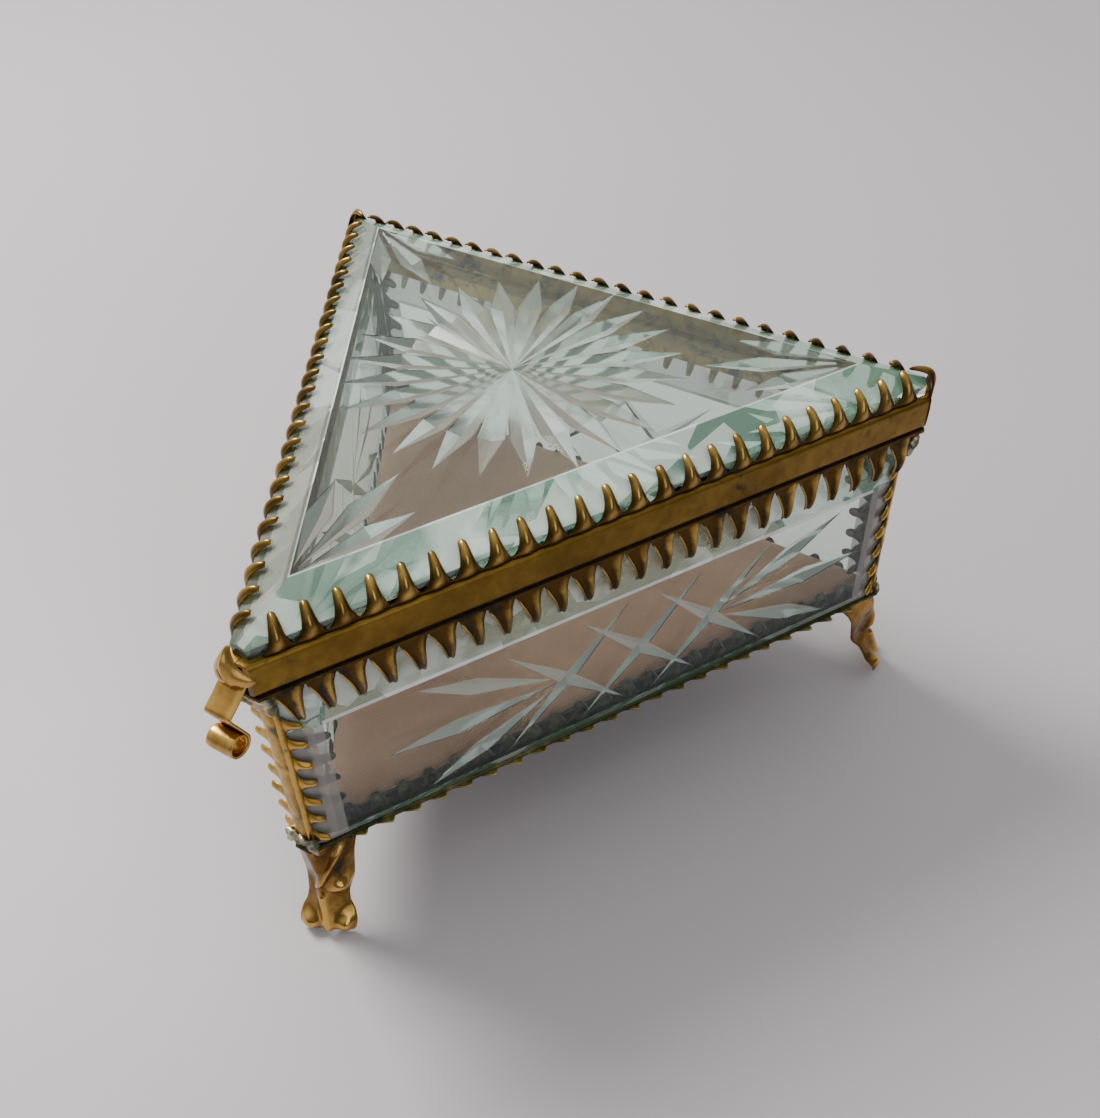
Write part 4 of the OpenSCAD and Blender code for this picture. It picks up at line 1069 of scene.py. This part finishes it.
def ribbed_cloth():
    material, s, shader = finish("ribbed cloth", Sheen_Weight=0.35, Sheen_Roughness=0.4)
    shader.inputs["Sheen Tint"].default_value = (0.9, 0.72, 0.62, 1)
    where = s.place((1000, 1000, 1000), 28)
    warp = s.node("ShaderNodeTexWave", {"wave_type": "BANDS", "bands_direction": "Y"}, {
        "Vector": where, "Scale": 0.62, "Distortion": 1.5, "Detail": 2.0, "Detail Scale": 0.6})
    weft = s.node("ShaderNodeTexWave", {"wave_type": "BANDS", "bands_direction": "X"}, {
        "Vector": where, "Scale": 0.5, "Distortion": 1.2, "Detail": 1.0})
    weave = warp * 0.5 + weft * 0.3 + s.cloud(0.8, 2) * 0.3
    faded = s.cloud(28, 3).ramp(0.35, 0.7)
    tone = s.mix(faded, (0.46, 0.225, 0.15, 1), (0.58, 0.32, 0.22, 1))
    feed(shader, Base_Color=s.mix(weave * 0.4, tone, (0.30, 0.14, 0.09, 1)),
         Roughness=0.7 + weave * 0.2, Normal=s.bump(weave, 0.15))
    return material


cloth = ribbed_cloth()

# %% Swell the pad


PAD_INSET, PAD_CORNER, CORNER_POINTS = 6.3, 1.0, 7
PAD_LOW, PAD_HIGH, PAD_VOXEL = 0.4, 4.6, 2.2
SWELL_FRAMES, SWELL_FORCE, SWELL_LIMIT, SIDEWAYS = 20, 4, 1.6, 0.1


def pad_outline():
    """A triangle with rounded corners, inside the inner claws."""
    reach = 2 * (INRADIUS - PAD_INSET - PAD_CORNER)
    points = []
    for a in (0, 120, 240):
        for k in range(CORNER_POINTS):
            turn = math.radians(a - 60 + 120 * k / (CORNER_POINTS - 1))
            points.append((reach * math.sin(math.radians(a)) + PAD_CORNER * math.sin(turn),
                           -reach * math.cos(math.radians(a)) - PAD_CORNER * math.cos(turn)))
    return points


def swelled(pad):
    """The pad's mesh after the pressure of its wadding has pushed the cloth out."""
    swell = pad.modifiers.new("swell", "CLOTH")
    swell.settings.use_pressure = True
    swell.settings.uniform_pressure_force = SWELL_FORCE
    swell.settings.effector_weights.gravity = 0
    for at in range(1, SWELL_FRAMES + 1):
        bpy.context.scene.frame_set(at)
    after = evaluated(pad)
    pad.modifiers.clear()
    bpy.context.scene.frame_set(1)
    return after


def pad_mesh():
    start = bpy.data.meshes.new("start")
    plate(pad_outline(), PAD_Z + PAD_LOW, PAD_Z + PAD_HIGH).to_mesh(start)
    start.transform(shift(y=SET_Y * MM) @ Matrix.Scale(MM, 4))
    pad = add("pad", start)
    voxel = pad.modifiers.new("voxel", "REMESH")
    voxel.mode, voxel.voxel_size = "VOXEL", PAD_VOXEL * MM
    even = evaluated(pad)
    pad.modifiers.clear()
    pad.data = even
    before = [v.co.copy() for v in even.vertices]
    pad.data = swelled(pad)
    furthest, limit = 0, SWELL_LIMIT * MM
    for vertex, old in zip(pad.data.vertices, before):
        move = vertex.co - old
        furthest = max(furthest, move.length)
        if move.length > limit:
            move *= limit / move.length
        move.xy *= SIDEWAYS
        vertex.co = old + move
        vertex.co.z = max(vertex.co.z, PAD_Z * MM)
    print("pad: furthest move", round(furthest * 1000, 2), "mm,", len(before), "points")
    mesh = pad.data
    bpy.data.objects.remove(pad)
    mesh.name = "lining"
    return mesh


lining = put(pad_mesh(), Matrix.Identity(4), cloth, "casket", ["lining_pad"])

# %% [markdown]
# ## Studio
# A plain pale table, a large soft light from the upper left as in the photograph, a weak
# fill from the right and a pale sky that the glass and the brass can reflect.

# %% Table, lights and sky
TABLE = 3
table_mesh = bpy.data.meshes.new("table")
table_mesh.from_pydata([(-TABLE, -TABLE, 0), (TABLE, -TABLE, 0), (TABLE, TABLE, 0),
                        (-TABLE, TABLE, 0)], [], [(0, 1, 2, 3)])
table = add("table", table_mesh)
table_finish, s, shader = finish("pale table", IOR=1.4)
feed(shader, Base_Color=s.mix(s.cloud(300, 3), (0.50, 0.47, 0.50, 1), (0.56, 0.53, 0.555, 1)),
     Roughness=0.38 + s.cloud(40, 3) * 0.12)
table_mesh.materials.append(table_finish)


AIM = Vector((0, 0.02, 0.05))
BRIGHT_SIDE = (-0.62, 0.42, 0.66)
SKY_DARK, SKY_BRIGHT, SKY_STRENGTH = (0.16, 0.155, 0.16, 1), (1.0, 0.985, 0.96, 1), 0.9


def soft_light(name, place, size, power, colour):
    """A round lamp aimed at the casket; place and size in metres."""
    lamp = bpy.data.lights.new(name, "AREA")
    lamp.shape, lamp.size, lamp.energy, lamp.color = "DISK", size, power, colour
    light = add(name, lamp)
    light.location = place
    light.rotation_euler = (AIM - Vector(place)).to_track_quat("-Z", "Y").to_euler()


soft_light("window", (-0.66, 0.09, 0.76), size=0.45, power=12, colour=(1.0, 0.97, 0.92))
soft_light("fill", (0.8, -0.5, 0.7), size=0.9, power=2.5, colour=(0.93, 0.96, 1.0))
world = bpy.data.worlds.new("pale room")
bpy.context.scene.world = world
world.use_nodes = True
sky = Sketch(world.node_tree)
toward = sky.node("ShaderNodeVectorMath", {"operation": "DOT_PRODUCT"}, {
    0: sky.node("ShaderNodeTexCoord"), 1: BRIGHT_SIDE}, "Value")
glow = sky.mix(toward.ramp(-0.35, 0.85), SKY_DARK, SKY_BRIGHT)
background = world.node_tree.nodes["Background"]
sky.tree.links.new(glow.socket, background.inputs["Color"])
background.inputs["Strength"].default_value = SKY_STRENGTH
print("studio ready")
